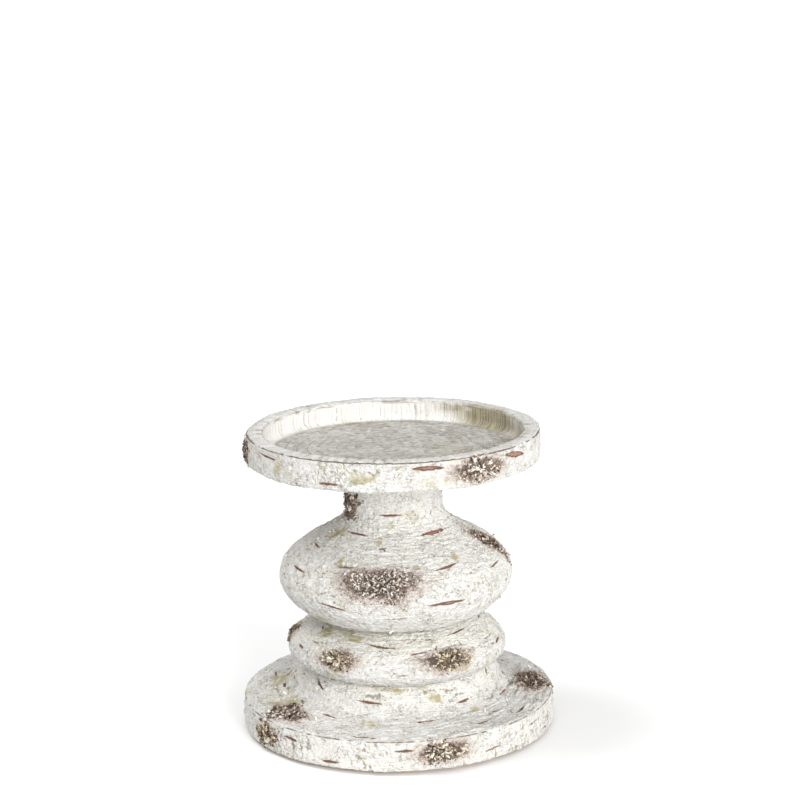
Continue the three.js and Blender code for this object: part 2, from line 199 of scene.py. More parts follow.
def upper_side():
    neck_bottom = DISH_BOTTOM - NECK_HEIGHT
    shoulder_height = neck_bottom - UPPER_WIDEST
    up = swell(WAIST_RADIUS, UPPER_RADIUS, UPPER_BOTTOM, UPPER_WIDEST, 0.732)
    shoulder = bezier(
        (UPPER_RADIUS, UPPER_WIDEST),
        (UPPER_RADIUS, UPPER_WIDEST + shoulder_height * 0.515),
        (NECK_RADIUS, neck_bottom - shoulder_height * 0.366),
        (NECK_RADIUS, neck_bottom),
    )
    return up + shoulder[1:] + [(NECK_RADIUS, UPPER_TOP)]


def dish_side():
    foot = rounded((DISH_RADIUS - 0.9, DISH_BOTTOM + 0.9), 0.9, -90, 0)
    edge = rounded((DISH_RADIUS - 0.7, DISH_TOP - 0.7), 0.7, 0, 90)
    return [(NECK_RADIUS - 1, DISH_BOTTOM)] + foot + edge


def dish_inside():
    lip = rounded((WELL_RADIUS + 0.8, DISH_TOP - 0.8), 0.8, 90, 180)
    corner = (WELL_RADIUS - WELL_FILLET, WELL_FLOOR + WELL_FILLET)
    return lip + rounded(corner, WELL_FILLET, 0, -90, 8) + [(0.0, WELL_FLOOR)]


class Side:
    """The bark side of one turned piece: its outline in millimetres, with the distance walked
    along it from its lower edge."""

    def __init__(self, outline):
        self.points = np.array(outline)
        steps = np.linalg.norm(np.diff(self.points, axis=0), axis=1)
        self.walked = np.concatenate(([0.0], np.cumsum(steps)))
        along = np.gradient(self.points, self.walked, axis=0)
        outward = np.stack((along[:, 1], -along[:, 0]), axis=1)
        self.outward = outward / np.linalg.norm(outward, axis=1)[:, None]

    def place(self, walked):
        """(radius, height) at a distance along the side."""
        return tuple(np.interp(walked, self.walked, self.points[:, axis]) for axis in (0, 1))

    def facing(self, walked):
        """(radial, upward) parts of the outward direction."""
        parts = np.array([np.interp(walked, self.walked, self.outward[:, axis]) for axis in (0, 1)])
        return tuple(parts / np.linalg.norm(parts))

    def nearest(self, radius, height):
        """The distance along the side of the place closest to a radius and a height."""
        gaps = np.hypot(self.points[:, 0] - radius, self.points[:, 1] - height)
        return float(self.walked[np.argmin(gaps)])


def on_side(side, angle, walked, lift=0.0):
    """A point on a turned side, and its directions round, along and out of it, in metres."""
    radius, height = side.place(walked)
    out_radial, out_up = side.facing(walked)
    turn = math.radians(angle)
    radial = Vector((math.sin(turn), -math.cos(turn), 0))
    round_it = Vector((math.cos(turn), math.sin(turn), 0))
    outward = radial * out_radial + Vector((0, 0, out_up))
    point = radial * radius + Vector((0, 0, height)) + outward * lift
    return point * MM, round_it, outward.cross(round_it).normalized(), outward


# ---- Spinning ----------------------------------------------------------------------------------


def spin_shell(name, stretches, columns, closed):
    """Spins an outline round the axis. Each stretch is (zone, points), from the inside out."""
    bm = bmesh.new()
    zone_layer = bm.verts.layers.float.new("zone")
    walked_layer = bm.verts.layers.float.new("walked")
    verts = []
    for zone, points in stretches:
        walked = 0.0
        for index, (radius, height) in enumerate(points):
            if index:
                walked += math.dist(points[index - 1], points[index])
            vert = bm.verts.new((0, -radius * MM, height * MM))
            vert[zone_layer] = zone
            vert[walked_layer] = walked
            verts.append(vert)
    edges = [bm.edges.new(pair) for pair in zip(verts, verts[1:])]
    if closed:
        edges.append(bm.edges.new((verts[-1], verts[0])))
    bmesh.ops.spin(
        bm,
        geom=verts + edges,
        cent=(0, 0, 0),
        axis=(0, 0, 1),
        angle=math.pi / 2,
        steps=columns // 4,
    )
    for axis in "XY":
        quarter = bm.verts[:] + bm.edges[:] + bm.faces[:]
        bmesh.ops.mirror(bm, geom=quarter, matrix=Matrix.Identity(4), merge_dist=-1.0, axis=axis)
    bmesh.ops.remove_doubles(bm, verts=bm.verts, dist=0.002 * MM)
    bmesh.ops.recalc_face_normals(bm, faces=bm.faces)
    return shown(name, bm)


def shown(name, bm, smooth=True):
    """Turns a bmesh into a shown object at the origin."""
    mesh = bpy.data.meshes.new(name)
    bm.to_mesh(mesh)
    bm.free()
    piece = bpy.data.objects.new(name, mesh)
    bpy.context.scene.collection.objects.link(piece)
    if smooth:
        mesh.polygons.foreach_set("use_smooth", [True] * len(mesh.polygons))
    return piece


def read_points(mesh, name):
    values = np.zeros(len(mesh.vertices), np.float32)
    mesh.attributes[name].data.foreach_get("value", values)
    return values.astype(float)


def store_points(mesh, name, values):
    attribute = mesh.attributes.get(name) or mesh.attributes.new(name, "FLOAT", "POINT")
    attribute.data.foreach_set("value", values.astype(np.float32))


def store_vectors(mesh, name, values):
    attribute = mesh.attributes.new(name, "FLOAT_VECTOR", "POINT")
    attribute.data.foreach_set("vector", values.astype(np.float32).ravel())


def positions(mesh):
    values = np.zeros(len(mesh.vertices) * 3, np.float32)
    mesh.vertices.foreach_get("co", values)
    return values.reshape(-1, 3).astype(float)


def push_out(mesh, heights):
    """Moves each vertex along its normal by a height in millimetres."""
    normals = np.zeros(len(mesh.vertices) * 3, np.float32)
    mesh.vertices.foreach_get("normal", normals)
    moved = positions(mesh) + normals.reshape(-1, 3) * heights[:, None] * MM
    mesh.vertices.foreach_set("co", moved.astype(np.float32).ravel())
    mesh.update()


# ---- Fields over a turned surface --------------------------------------------------------------

CHANCE = np.random.default_rng(41)
SHUFFLE = CHANCE.permutation(256)
SLOPES = CHANCE.normal(size=(256, 3))
SLOPES /= np.linalg.norm(SLOPES, axis=1)[:, None]
SPOTS = CHANCE.random((256, 3))


def shuffled(corners):
    index = SHUFFLE[corners[:, 0] & 255]
    index = SHUFFLE[(index + corners[:, 1]) & 255]
    return SHUFFLE[(index + corners[:, 2]) & 255]


def smooth_noise(cells):
    """Rolling noise from about -1 to 1, one value for each row of coordinates."""
    corner = np.floor(cells).astype(np.int64)
    inside = cells - corner
    fade = inside**3 * (inside * (inside * 6 - 15) + 10)
    total = np.zeros(len(cells))
    for step in itertools.product((0, 1), repeat=3):
        slopes = SLOPES[shuffled(corner + step)]
        weights = np.where(np.array(step) == 1, fade, 1 - fade).prod(axis=1)
        total += (slopes * (inside - step)).sum(axis=1) * weights
    return total * 1.7


def cell_noise(cells):
    """For each row of coordinates: the distance to the nearest cell's middle, how much farther
    off the second nearest is, and a chance value that belongs to the nearest cell."""
    corner = np.floor(cells).astype(np.int64)
    inside = cells - corner
    nearest = np.full(len(cells), 9.0)
    second = nearest.copy()
    owner = np.zeros(len(cells), np.int64)
    for step in itertools.product((-1, 0, 1), repeat=3):
        index = shuffled(corner + step)
        reach = np.linalg.norm(SPOTS[index] + step - inside, axis=1)
        closer = reach < nearest
        second = np.where(closer, nearest, np.minimum(second, reach))
        owner = np.where(closer, index, owner)
        nearest = np.where(closer, reach, nearest)
    return nearest, second - nearest, SPOTS[owner, 0]


def smoothstep(low, high, values):
    shares = np.clip((values - low) / (high - low), 0, 1)
    return shares * shares * (3 - 2 * shares)


def turned_by(turn, degrees):
    """The angle in radians from a bearing in degrees, between minus and plus half a turn."""
    return (turn - math.radians(degrees) + math.pi) % (2 * math.pi) - math.pi


class Surface:
    """Places on a turned surface in millimetres, with noise that has no seam."""

    def __init__(self, points, walked, seed):
        self.points = points / MM
        self.turn = np.arctan2(points[:, 0], -points[:, 1])
        self.radius = np.hypot(points[:, 0], points[:, 1]) / MM
        self.height = self.points[:, 2]
        self.walked = walked
        self.seed = seed

    def grid(self, around, along, drift):
        """Coordinates for noise whose cells measure around by along."""
        self.seed += 1
        return np.stack(
            (
                (self.points[:, 0] + drift) / around + self.seed * 13.7,
                (self.points[:, 1] - drift) / around - self.seed * 7.3,
                (self.walked + drift) / along + self.seed * 3.1,
            ),
            axis=1,
        )

    def noise(self, around, along, drift=0.0):
        return smooth_noise(self.grid(around, along, drift))

    def cells(self, around, along, drift=0.0):
        return cell_noise(self.grid(around, along, drift))

    def offset(self, angle, walked):
        """Millimetres round and along from a place to every point."""
        return turned_by(self.turn, angle) * self.radius, self.walked - walked


def turned_offset(surface, angle, walked, tilt):
    across, along = surface.offset(angle, walked)
    tilt = math.radians(tilt)
    run = across * math.cos(tilt) + along * math.sin(tilt)
    return run, along * math.cos(tilt) - across * math.sin(tilt)


def mark_field(surface, marks, wobble):
    """Millimetres inside the nearest bark mark, negative outside it.
    A mark is (angle, distance walked, length, slant, width)."""
    field = np.full(len(surface.walked), -2.0)
    for angle, walked, length, slant, width in marks:
        run, side = turned_offset(surface, angle, walked, slant)
        share = np.clip(1 - (2 * run / length) ** 2, 0, 1)
        half_width = width / 2 * share**0.8 * (1 + 0.25 * wobble)
        past_end = np.maximum(np.abs(run) - length / 2, 0)
        field = np.maximum(field, half_width - np.abs(side + 0.12 * wobble) - past_end)
    return field


def knot_field(surface, knots):
    """1 at the middle of each knot, 0 at its edge, negative outside, in shares of its size."""
    field = np.full(len(surface.walked), -3.0)
    for knot in knots:
        run, side = turned_offset(surface, knot["angle"], knot["walked"], knot["tilt"])
        reach = np.hypot(2 * run / knot["width"], 2 * side / knot["length"])
        field = np.maximum(field, 1 - reach)
    return field


def stain_field(surface, stains):
    """0 to 1. A stain is (angle, distance walked, half its width, half its height, strength)."""
    field = np.zeros(len(surface.walked))
    for angle, walked, half_width, half_height, strength in stains:
        across, along = surface.offset(angle, walked)
        reach = (across / half_width) ** 2 + (along / half_height) ** 2
        field = np.maximum(field, strength * np.exp(-reach * 1.2))
    return field


# ---- Bark marks and stains ---------------------------------------------------------------------

# (angle, height above the piece's lower edge, length, slant, width)
DISH_MARKS = [
    (-56, 9, 17, -3, 1.0),
    (-25, 2.8, 11, 1, 1.2),
    (13, 9.3, 14, -2, 2.0),
    (53, 8.8, 15, -9, 2.6),
]
UPPER_MARKS = [
    (-27, 66, 8, 0, 1.1),
    (-39, 39, 12, 0, 1.3),
    (-4, 46.6, 12, 1, 1.1),
    (39, 39, 14, 2, 2.1),
    (-66, 33, 8, -8, 1.0),
    (-61, 25.3, 11, -3, 1.1),
    (-29, 29.6, 9, 1, 0.9),
    (-10, 35.5, 4, 6, 1.0),
    (-8, 35.0, 2.5, -60, 0.7),
    (2, 35.2, 7, -5, 0.6),
    (30, 29.1, 13, 10, 1.2),
    (63, 25.3, 11, 6, 0.9),
    (48, 46, 2.5, 60, 0.7),
    (-32, 15, 14, -7, 1.0),
    (25, 16.6, 17, 1, 1.6),
    (-1, 11, 10, 1, 0.8),
]
LOWER_MARKS = [
    (-65, 17.2, 4, -30, 0.8),
    (-66, 10.5, 5, -6, 1.2),
    (-11, 15.7, 14, -10, 1.2),
    (47, 17.2, 14, 4, 0.9),
    (86, 17, 4.5, 0, 0.9),
    (71, 10.3, 7, 8, 1.3),
    (12, 13.6, 9, 4, 0.9),
    (2, 6.5, 7, 0, 0.6),
]
RIM_MARKS = [
    (-42, 8.4, 9, -3, 1.2),
    (2, 8.7, 11, 3, 1.1),
    (-25, 2.6, 8.5, 0, 1.4),
    (35, 4.4, 10, 8, 0.9),
    (58, 8.2, 12, 5, 0.7),
]
# (angle, radius, length, slant, width)
SWEEP_MARKS = [
    (-107, 55, 7, 20, 1.2),
    (-89, 48, 9, 0, 1.3),
    (-52, 41, 9, -25, 1.4),
    (66, 40, 5, 70, 1.3),
    (-16, 42.3, 11, -3, 1.3),
    (38, 43.3, 11, 6, 1.2),
    (69, 46.3, 10, 0, 1.0),
    (-36, 48.5, 10, -6, 1.2),
    (57, 59.4, 9, 6, 1.4),
    (13, 48.8, 14, 2, 1.1),
    (37, 57.5, 9, 6, 1.3),
    (-13, 61.5, 13, -3, 1.3),
]
# (angle, height above the piece's lower edge, half its width, half its height, strength)
DISH_STAINS = [(-12, 6, 9, 4, 0.5), (-48, 5, 14, 5, 0.35), (14, 4, 7, 3, 0.4), (-25, 10, 12, 2.5, 0.3)]
UPPER_STAINS = [
    (-35, 31, 1.5, 3.2, 1.0),
    (38, 31, 2.2, 1.6, 0.9),
    (-14, 37, 2, 1.5, 0.9),
    (-6, 42, 2.5, 1.5, 0.7),
    (12, 30, 1.5, 1.3, 0.8),
    (-62, 38, 8, 6, 0.45),
    (-45, 6, 10, 4, 0.5),
    (10, 47, 12, 3, 0.3),
    (150, 30, 9, 5, 0.6),
    (210, 40, 7, 4, 0.6),
]
LOWER_STAINS = [
    (-57, 16.5, 4.5, 3.4, 1.0),
    (-30, 17.2, 3.8, 2.4, 1.0),
    (-42, 18.2, 14, 2.2, 0.5),
    (8, 16, 16, 3, 0.35),
    (34, 8, 8, 4, 0.6),
    (-35, 7, 9, 5, 0.35),
    (-92, 12, 6, 6, 0.5),
    (170, 14, 9, 4, 0.6),
]
# (angle, radius, half its width, half its height, strength)
BASE_STAINS = [
    (21, 42, 3.2, 1.8, 1.0),
    (41, 47.5, 2.6, 2, 0.8),
    (-14, 50, 4, 3, 0.5),
    (28, 61, 5, 1.5, 0.5),
    (-70, 52, 16, 9, 0.5),
    (-100, 50, 16, 9, 0.5),
    (0, 39.5, 20, 2, 0.4),
    (130, 50, 9, 5, 0.5),
    (220, 45, 8, 4, 0.5),
]
# The front reaches this many degrees to each side. Marks farther round are scattered.
FRONT_ARC = 88


def placed_by_height(side, rows):
    """Marks or stains, with their height turned into the distance walked."""
    found = []
    bottom = side.points[:, 1].min()
    for angle, height, *rest in rows:
        gaps = np.abs(side.points[:, 1] - bottom - height)
        found.append((angle, float(side.walked[np.argmin(gaps)]), *rest))
    return found


def placed_by_radius(side, rows):
    """Marks or stains on the top of the base, with their radius turned into the distance walked."""
    found = []
    high = side.points[:, 1] > BASE_BOTTOM + BASE_RIM_HEIGHT
    for angle, radius, *rest in rows:
        gaps = np.where(high, np.abs(side.points[:, 0] - radius), 99)
        found.append((angle, float(side.walked[np.argmin(gaps)]), *rest))
    return found


def scattered_marks(low, high, count):
    """Marks for the sides and the back, between two distances walked."""
    arc = (360 - 2 * FRONT_ARC) / count
    marks = []
    for index in range(count):
        angle = FRONT_ARC + arc * (index + RANDOM.uniform(0.1, 0.9))
        walked = RANDOM.uniform(low, high)
        slant = RANDOM.gauss(0, 7)
        marks.append((angle, walked, RANDOM.uniform(6, 14), slant, RANDOM.uniform(0.7, 1.7)))
    return marks


# ---- Knots from the frame ----------------------------------------------------------------------

KNOT_TILTS = {"neck_knot_left": 12, "upper_knot_right": 14}


def read_knot(name, side):
    """The place and size of a knot, read off its solid."""
    points = positions(frame["nodes"][name].data)
    radii = np.hypot(points[:, 0], points[:, 1]) / MM
    middle = points.mean(axis=0)
    angle = math.degrees(math.atan2(middle[0], -middle[1]))
    turn = np.arctan2(points[:, 0], -points[:, 1]) - math.radians(angle)
    across = ((turn + math.pi) % (2 * math.pi) - math.pi) * radii
    walked = np.array([side.nearest(r, z / MM) for r, z in zip(radii, points[:, 2])])
    return {
        "name": name,
        "angle": angle,
        "walked": (walked.min() + walked.max()) / 2,
        "width": across.max() - across.min(),
        "length": walked.max() - walked.min(),
        "tilt": KNOT_TILTS.get(name, 0),
        "side": side,
    }


SIDES = {
    "dish": Side(evenly(dish_side(), 0.25)),
    "upper": Side(evenly(upper_side(), 0.25)),
    "lower": Side(evenly(lower_side(), 0.25)),
    "base": Side(evenly(base_side(), 0.25)),
}
KNOT_SIDES = {
    "dish": "dish",
    "neck": "upper",
    "upper": "upper",
    "lower": "lower",
    "base": "base",
    "rim": "base",
}
KNOTS = [
    read_knot(name, SIDES[KNOT_SIDES[name.split("_")[0]]])
    for name in sorted(frame["nodes"])
    if "_knot_" in name
]


def knots_on(side):
    return [knot for knot in KNOTS if knot["side"] is side]


# ---- Carving the bark --------------------------------------------------------------------------

# The usual height of the fine relief in millimetres, on bark and on cut wood. The colours follow
# the relief in shares of it: painted shade in its hollows, painted highlight on its crests.
BARK_RELIEF = 0.26
CUT_RELIEF = 0.10


def carve_bark(piece, side, marks, stains, lines, style, seed):
    """Carves the bark zone of a piece and keeps the fields that its colours follow.
    style gives the strength of each kind of relief, as a function of angle and distance walked.
    lines are (distance walked, width, strength) of dark lines that run right round."""
    mesh = piece.data
    walked = read_points(mesh, "walked")
    bark = smoothstep(0.4, 0.6, 1 - np.abs(read_points(mesh, "zone") - BARK))
    surface = Surface(positions(mesh), walked, seed)
    strength = {kind: rule(np.degrees(surface.turn), walked) for kind, rule in style.items()}

    wave = surface.noise(17, 11)
    drift = surface.noise(7, 5)
    wobble = surface.noise(2.3, 1.6)
    patchy = surface.noise(11, 7)

    # Wrinkled skin: flat patches parted by sharp creases.
    wrinkles = np.minimum(np.abs(surface.noise(7, 2.8, drift * 1.2)) * 2.6, 0.8) - 0.5
    creases = np.minimum(np.abs(surface.noise(3.6, 1.9, drift)) * 2.2, 0.8) - 0.5
    crumple = (0.6 * wrinkles + 0.6 * creases) * strength["crumple"]

    # Fibres that run round the piece.
    fibres = surface.noise(15, 1.25, drift * 1.1) + 0.7 * surface.noise(8, 1.1, drift * 0.7)
    fibres *= strength["fibres"] * smoothstep(-0.6, 0.2, patchy)

    # Pebbles parted by cracks.
    nearest, behind, chance = surface.cells(2.5, 3.1, wobble * 0.35)
    crack_width = 0.14 * (1 + 0.6 * wobble)
    pebble_cracks = 1 - smoothstep(0.0, crack_width, behind)
    pebble_zone = strength["pebbles"] * smoothstep(-0.85, -0.1, surface.noise(9, 8))
    pebbles = (0.55 - nearest**2 + 0.5 * (chance - 0.5) - 0.75 * pebble_cracks) * pebble_zone

    # Layers of bark that have peeled away in steps.
    layer = surface.noise(5.5, 2.2, drift) + 0.5 * surface.noise(2.2, 1.3)
    layer_top = smoothstep(0.22, 0.30, layer) * strength["flakes"]
    layer_edge = np.clip(1 - np.abs(layer - 0.24) / 0.09, 0, 1) * strength["flakes"]

    grain = surface.noise(1.15, 1.15) + 0.6 * surface.noise(1.9, 1.9)
    marked = mark_field(surface, marks, wobble)
    knotted = knot_field(surface, knots_on(side))
    rough_knot = knotted + 0.20 * wobble + 0.12 * drift + 0.10 * grain
    lined = line_field(surface, lines, wobble, patchy)

    fine = 0.32 * crumple + 0.26 * fibres + 0.28 * pebbles
    fine += 0.24 * layer_top - 0.14 * layer_edge + 0.21 * grain * strength["grain"]
    sunk = smoothstep(-0.1, 0.4, marked)
    lip = smoothstep(-0.7, -0.15, marked) * (1 - sunk)
    near_knot = smoothstep(-0.8, 0.2, knotted)
    height = 0.30 * wave + fine * (1 - sunk) - 0.45 * sunk + 0.12 * lip
    height += near_knot * (0.40 + 0.35 * wobble + 0.2 * grain) - 0.30 * lined
    push_out(mesh, height * bark)

    hair_cracks = np.clip(1 - np.abs(surface.noise(6, 3.2, drift)) / 0.035, 0, 1)
    hair_cracks *= smoothstep(0.0, 0.5, surface.noise(4, 3)) * strength["crumple"]
    # The kept relief sets painted shade in the hollows and painted highlight on the crests.
    store_points(mesh, "relief", fine / BARK_RELIEF)
    cracks = [0.75 * pebble_cracks * pebble_zone, 0.8 * layer_edge, hair_cracks]
    store_points(mesh, "cracks", np.maximum.reduce(cracks))
    store_points(mesh, "marks", marked)
    store_points(mesh, "knots", rough_knot)
    store_points(mesh, "stains", stain_field(surface, stains) * (1 + 0.6 * drift + 0.4 * wobble))
    store_points(mesh, "lines", lined)
    # The cream share is a warm tint that also works as painted fill light: it lifts the shade in the
    # grooves between the pieces.
    store_points(mesh, "cream_and_painted_fill", strength["cream_and_painted_fill"] * (1 + 0.4 * drift))
    store_unrolled(mesh, surface)


def line_field(surface, lines, wobble, patchy):
    """Dark lines that run right round, wavering and fading in places."""
    field = np.zeros(len(surface.walked))
    for walked, width, strength in lines:
        away = np.abs(surface.walked - walked - 0.18 * wobble)
        here = np.clip(1 - away / (width * (1 + 0.5 * wobble)), 0, 1)
        field = np.maximum(field, here * strength * smoothstep(-0.75, -0.1, patchy + 0.5 * wobble))
    return field


def store_unrolled(mesh, surface):
    ring = surface.radius.max()
    unrolled = (np.cos(surface.turn) * ring, np.sin(surface.turn) * ring, surface.walked)
    store_vectors(mesh, "unrolled", np.stack(unrolled, axis=1) * MM)


def by_walk(*pairs):
    """A strength that follows the distance walked, from (distance, strength) pairs."""
    distances, strengths = zip(*pairs)
    return lambda angles, walked: np.interp(walked, distances, strengths)


def steady(strength):
    return lambda angles, walked: np.full(len(walked), float(strength))


def by_angle(strength, elsewhere, angle, spread):
    """A strength at one angle that fades to another elsewhere."""
    def rule(angles, walked):
        away = (angles - angle + 180) % 360 - 180
        return elsewhere + (strength - elsewhere) * np.exp(-((away / spread) ** 2))
    return rule


# ---- Turned pieces -----------------------------------------------------------------------------


def build_base():
    side = SIDES["base"]
    rim = BASE_RIM_HEIGHT
    end = side.walked[-1]
    bolt_hole = [
        (BORE_RADIUS, COUNTERBORE_ROOF),
        (COUNTERBORE_RADIUS, COUNTERBORE_ROOF),
        (COUNTERBORE_RADIUS, BASE_BOTTOM),
    ]
    shell = spin_shell(
        "base_turning",
        [(HIDDEN, bolt_hole), (BARK, evenly(base_side(), 0.55)), (HIDDEN, [(BORE_RADIUS, BASE_TOP)])],
        columns=720,
        closed=True,
    )
    marks = placed_by_height(side, RIM_MARKS) + placed_by_radius(side, SWEEP_MARKS)
    marks += scattered_marks(3, rim - 3, 6) + scattered_marks(rim + 3, rim + 28, 12)
    style = {
        "crumple": by_walk((0, 0.3), (rim, 0.4), (rim + 3, 0.7), (end, 0.7)),
        "fibres": by_walk((0, 0.1), (rim, 0.3), (rim + 1, 1.3), (rim + 25, 1.1), (end, 0.8)),
        "pebbles": by_walk((0, 1.3), (rim - 0.6, 1.3), (rim + 0.4, 0.1), (end, 0)),
        "flakes": by_walk((0, 0.1), (rim, 0.2), (rim + 2, 0.8), (end, 0.5)),
        "grain": by_walk((0, 0.5), (rim, 0.5), (rim + 20, 0.7), (end, 1.3)),
        # Cream grows towards the seat under the lower bulb, as painted fill light where that bulb's
        # shade falls.
        "cream_and_painted_fill": by_walk(
            (0, 0.6), (rim, 0.3), (rim + 2, 0.1), (end - 12, 0.2), (end - 4, 0.8), (end, 1.0)
        ),
    }
    lines = [(rim + 0.1, 0.45, 0.8), (end - 0.3, 0.5, 0.3)]
    carve_bark(shell, side, marks, placed_by_radius(side, BASE_STAINS), lines, style, seed=3)
    return shell


def build_lower_bulb():
    side = SIDES["lower"]
    end = side.walked[-1]
    shell = spin_shell(
        "lower_bulb_turning",
        [
            (HIDDEN, [(BORE_RADIUS, LOWER_BOTTOM)]),
            (BARK, evenly(lower_side(), 0.5)),
            (HIDDEN, [(BORE_RADIUS, LOWER_TOP)]),
        ],
        columns=540,
        closed=True,
    )
    marks = placed_by_height(side, LOWER_MARKS) + scattered_marks(5, end - 8, 9)
    style = {
        "crumple": by_walk((0, 0.5), (10, 0.6), (end, 0.5)),
        "fibres": by_walk((0, 0.4), (10, 0.4), (16, 1.2), (end, 0.9)),
        "pebbles": by_walk((0, 0.2), (6, 0.4), (16, 0.2), (end, 0)),
        "flakes": steady(0.35),
        "grain": by_walk((0, 1.6), (14, 1.5), (end, 0.8)),
        # Cream grows towards the waist, as painted fill light in the shade under the upper bulb.
        "cream_and_painted_fill": by_walk((0, 0.6), (7, 0.1), (14, 0.2), (20, 0.9), (end, 1.3)),
    }
    stains = placed_by_height(side, LOWER_STAINS)
    carve_bark(shell, side, marks, stains, [(0.3, 0.5, 0.35)], style, seed=203)
    return shell


def build_upper_bulb():
    side = SIDES["upper"]
    end = side.walked[-1]
    bolt_hole = [
        (0.0, INSERT_HOLE_TOP),
        (INSERT_HOLE_RADIUS, INSERT_HOLE_TOP),
        (INSERT_HOLE_RADIUS, UPPER_BOTTOM),
    ]
    socket = [(SOCKET_RADIUS, UPPER_TOP), (SOCKET_RADIUS, SOCKET_FLOOR), (0.0, SOCKET_FLOOR)]
    shell = spin_shell(
        "upper_bulb_turning",
        [(HIDDEN, bolt_hole), (BARK, evenly(upper_side(), 0.55)), (HIDDEN, socket)],
        columns=540,
        closed=False,
    )
    marks = placed_by_height(side, UPPER_MARKS) + scattered_marks(12, 68, 16)
    style = {
        "crumple": by_walk((0, 0.5), (22, 0.7), (40, 1.2), (70, 1.1), (end, 0.9)),
        "fibres": by_walk((0, 0.8), (12, 0.5), (30, 0.6), (45, 0.9), (end, 0.5)),
        "pebbles": by_walk((0, 0), (15, 0.3), (30, 0.25), (end - 14, 0.1), (end, 0.3)),
        "flakes": by_walk((0, 0.1), (20, 0.3), (38, 0.9), (68, 1.0), (end, 0.5)),
        "grain": by_walk((0, 1.5), (28, 1.4), (45, 0.8), (end, 0.9)),
        # Cream is strongest at the waist, as painted fill light in the shade under the bulb's belly.
        "cream_and_painted_fill": by_walk(
            (0, 1.2), (10, 0.6), (22, 0.1), (36, 0.45), (52, 0.6), (end - 12, 0.6), (end, 0.7)
        ),
    }
    stains = placed_by_height(side, UPPER_STAINS)
    carve_bark(shell, side, marks, stains, [], style, seed=403)
    return shell


def build_dish():
    side = SIDES["dish"]
    end = side.walked[-1]
    wall_start = side.nearest(DISH_RADIUS, DISH_BOTTOM + 1)
    inside = dish_inside()
    spigot = [(0.0, SPIGOT_BOTTOM), (SPIGOT_RADIUS, SPIGOT_BOTTOM), (SPIGOT_RADIUS, DISH_BOTTOM)]
    shell = spin_shell(
        "dish_turning",
        [
            (HIDDEN, spigot),
            (BARK, evenly(dish_side()[:2], 2.2)[:-1] + evenly(dish_side()[1:], 0.5)),
            (CUT, evenly(inside[:-1], 0.55) + evenly(inside[-2:], 1.3)[1:]),
        ],
        columns=760,
        closed=False,
    )
    marks = [
        (angle, wall_start + height - 1, length, slant, width)
        for angle, height, length, slant, width in DISH_MARKS
    ]
    marks += scattered_marks(wall_start + 1, wall_start + 8, 5)
    style = {
        "crumple": steady(0.7),
        "fibres": by_walk((0, 0.6), (wall_start, 0.1), (end, 0.1)),
        "pebbles": by_angle(1.4, 0.65, -20, 26),
        "flakes": steady(0.3),
        "grain": steady(0.7),
        "cream_and_painted_fill": by_angle(0.45, 0.15, 24, 18),
    }
    stains = placed_by_height(side, DISH_STAINS)
    carve_bark(shell, side, marks, stains, [(end - 0.55, 0.52, 1.0)], style, seed=603)
    carve_well(shell)
    return shell


# The log that the dish was cut from had its pith off the turning axis, at this x and y.
PITH = (-8.0, 2.0)
RING_SPACING = 4.3


def carve_well(piece):
    """Ribs on the well's wall, growth rings on its floor, and a worn rim."""
    mesh = piece.data
    cut = smoothstep(0.4, 0.6, 1 - np.abs(read_points(mesh, "zone") - CUT))
    surface = Surface(positions(mesh), read_points(mesh, "walked"), 803)
    floor = smoothstep(WELL_RADIUS - 1.5, WELL_RADIUS - 4, surface.radius)
    wall = smoothstep(0.8, 2.0, DISH_TOP - surface.height) * (1 - floor)
    rim = 1 - np.clip(wall + floor, 0, 1)

    ribs = surface.noise(1.15, 40)
    drift = surface.noise(15, 15)
    wobble = surface.noise(3.0, 3.0)
    from_pith = np.hypot(surface.points[:, 0] - PITH[0], (surface.points[:, 1] - PITH[1]) * 1.1)
    rings = np.cos((from_pith + drift * 3.5 + wobble * 0.15) * 2 * math.pi / RING_SPACING)
    ring_lines = np.clip((rings - 0.6) / 0.4, 0, 1)
    turning = surface.noise(60, 1.3)
    dents = surface.noise(1.7, 1.7) + 0.6 * surface.noise(3.4, 3.4)
    fine = wall * 0.10 * ribs + floor * (0.13 * dents - 0.05 * ring_lines)
    fine += rim * (0.16 * dents + 0.10 * turning)
    inner_edge = line_field(surface, [(0.6, 0.5, 0.7)], wobble, drift)
    push_out(mesh, (fine + 0.15 * drift * (floor + rim)) * cut)

    stain_marks = [
        (128, 5.5, 20, 6, 1.0),
        (98, 8, 12, 9, 0.6),
        (150, 3, 10, 2.5, 0.6),
        (-160, 13, 18, 3, 0.45),
        (25, 16, 24, 4, 0.4),
        (75, 36, 26, 16, 0.3),
        (82, 2, 22, 2.5, 0.5),
    ]
    stains = stain_field(surface, stain_marks)
    # On the cut wood too, the kept relief sets painted shade in the hollows and painted highlight on the
    # crests.
    store_points(mesh, "relief", np.where(cut > 0.5, fine / CUT_RELIEF, read_points(mesh, "relief")))
    store_points(mesh, "floor", floor)
    store_points(mesh, "rim", rim)
    store_points(mesh, "lines", np.where(cut > 0.5, inner_edge, read_points(mesh, "lines")))
    store_points(mesh, "stains", np.where(cut > 0.5, stains, read_points(mesh, "stains")))


# ---- Materials ---------------------------------------------------------------------------------


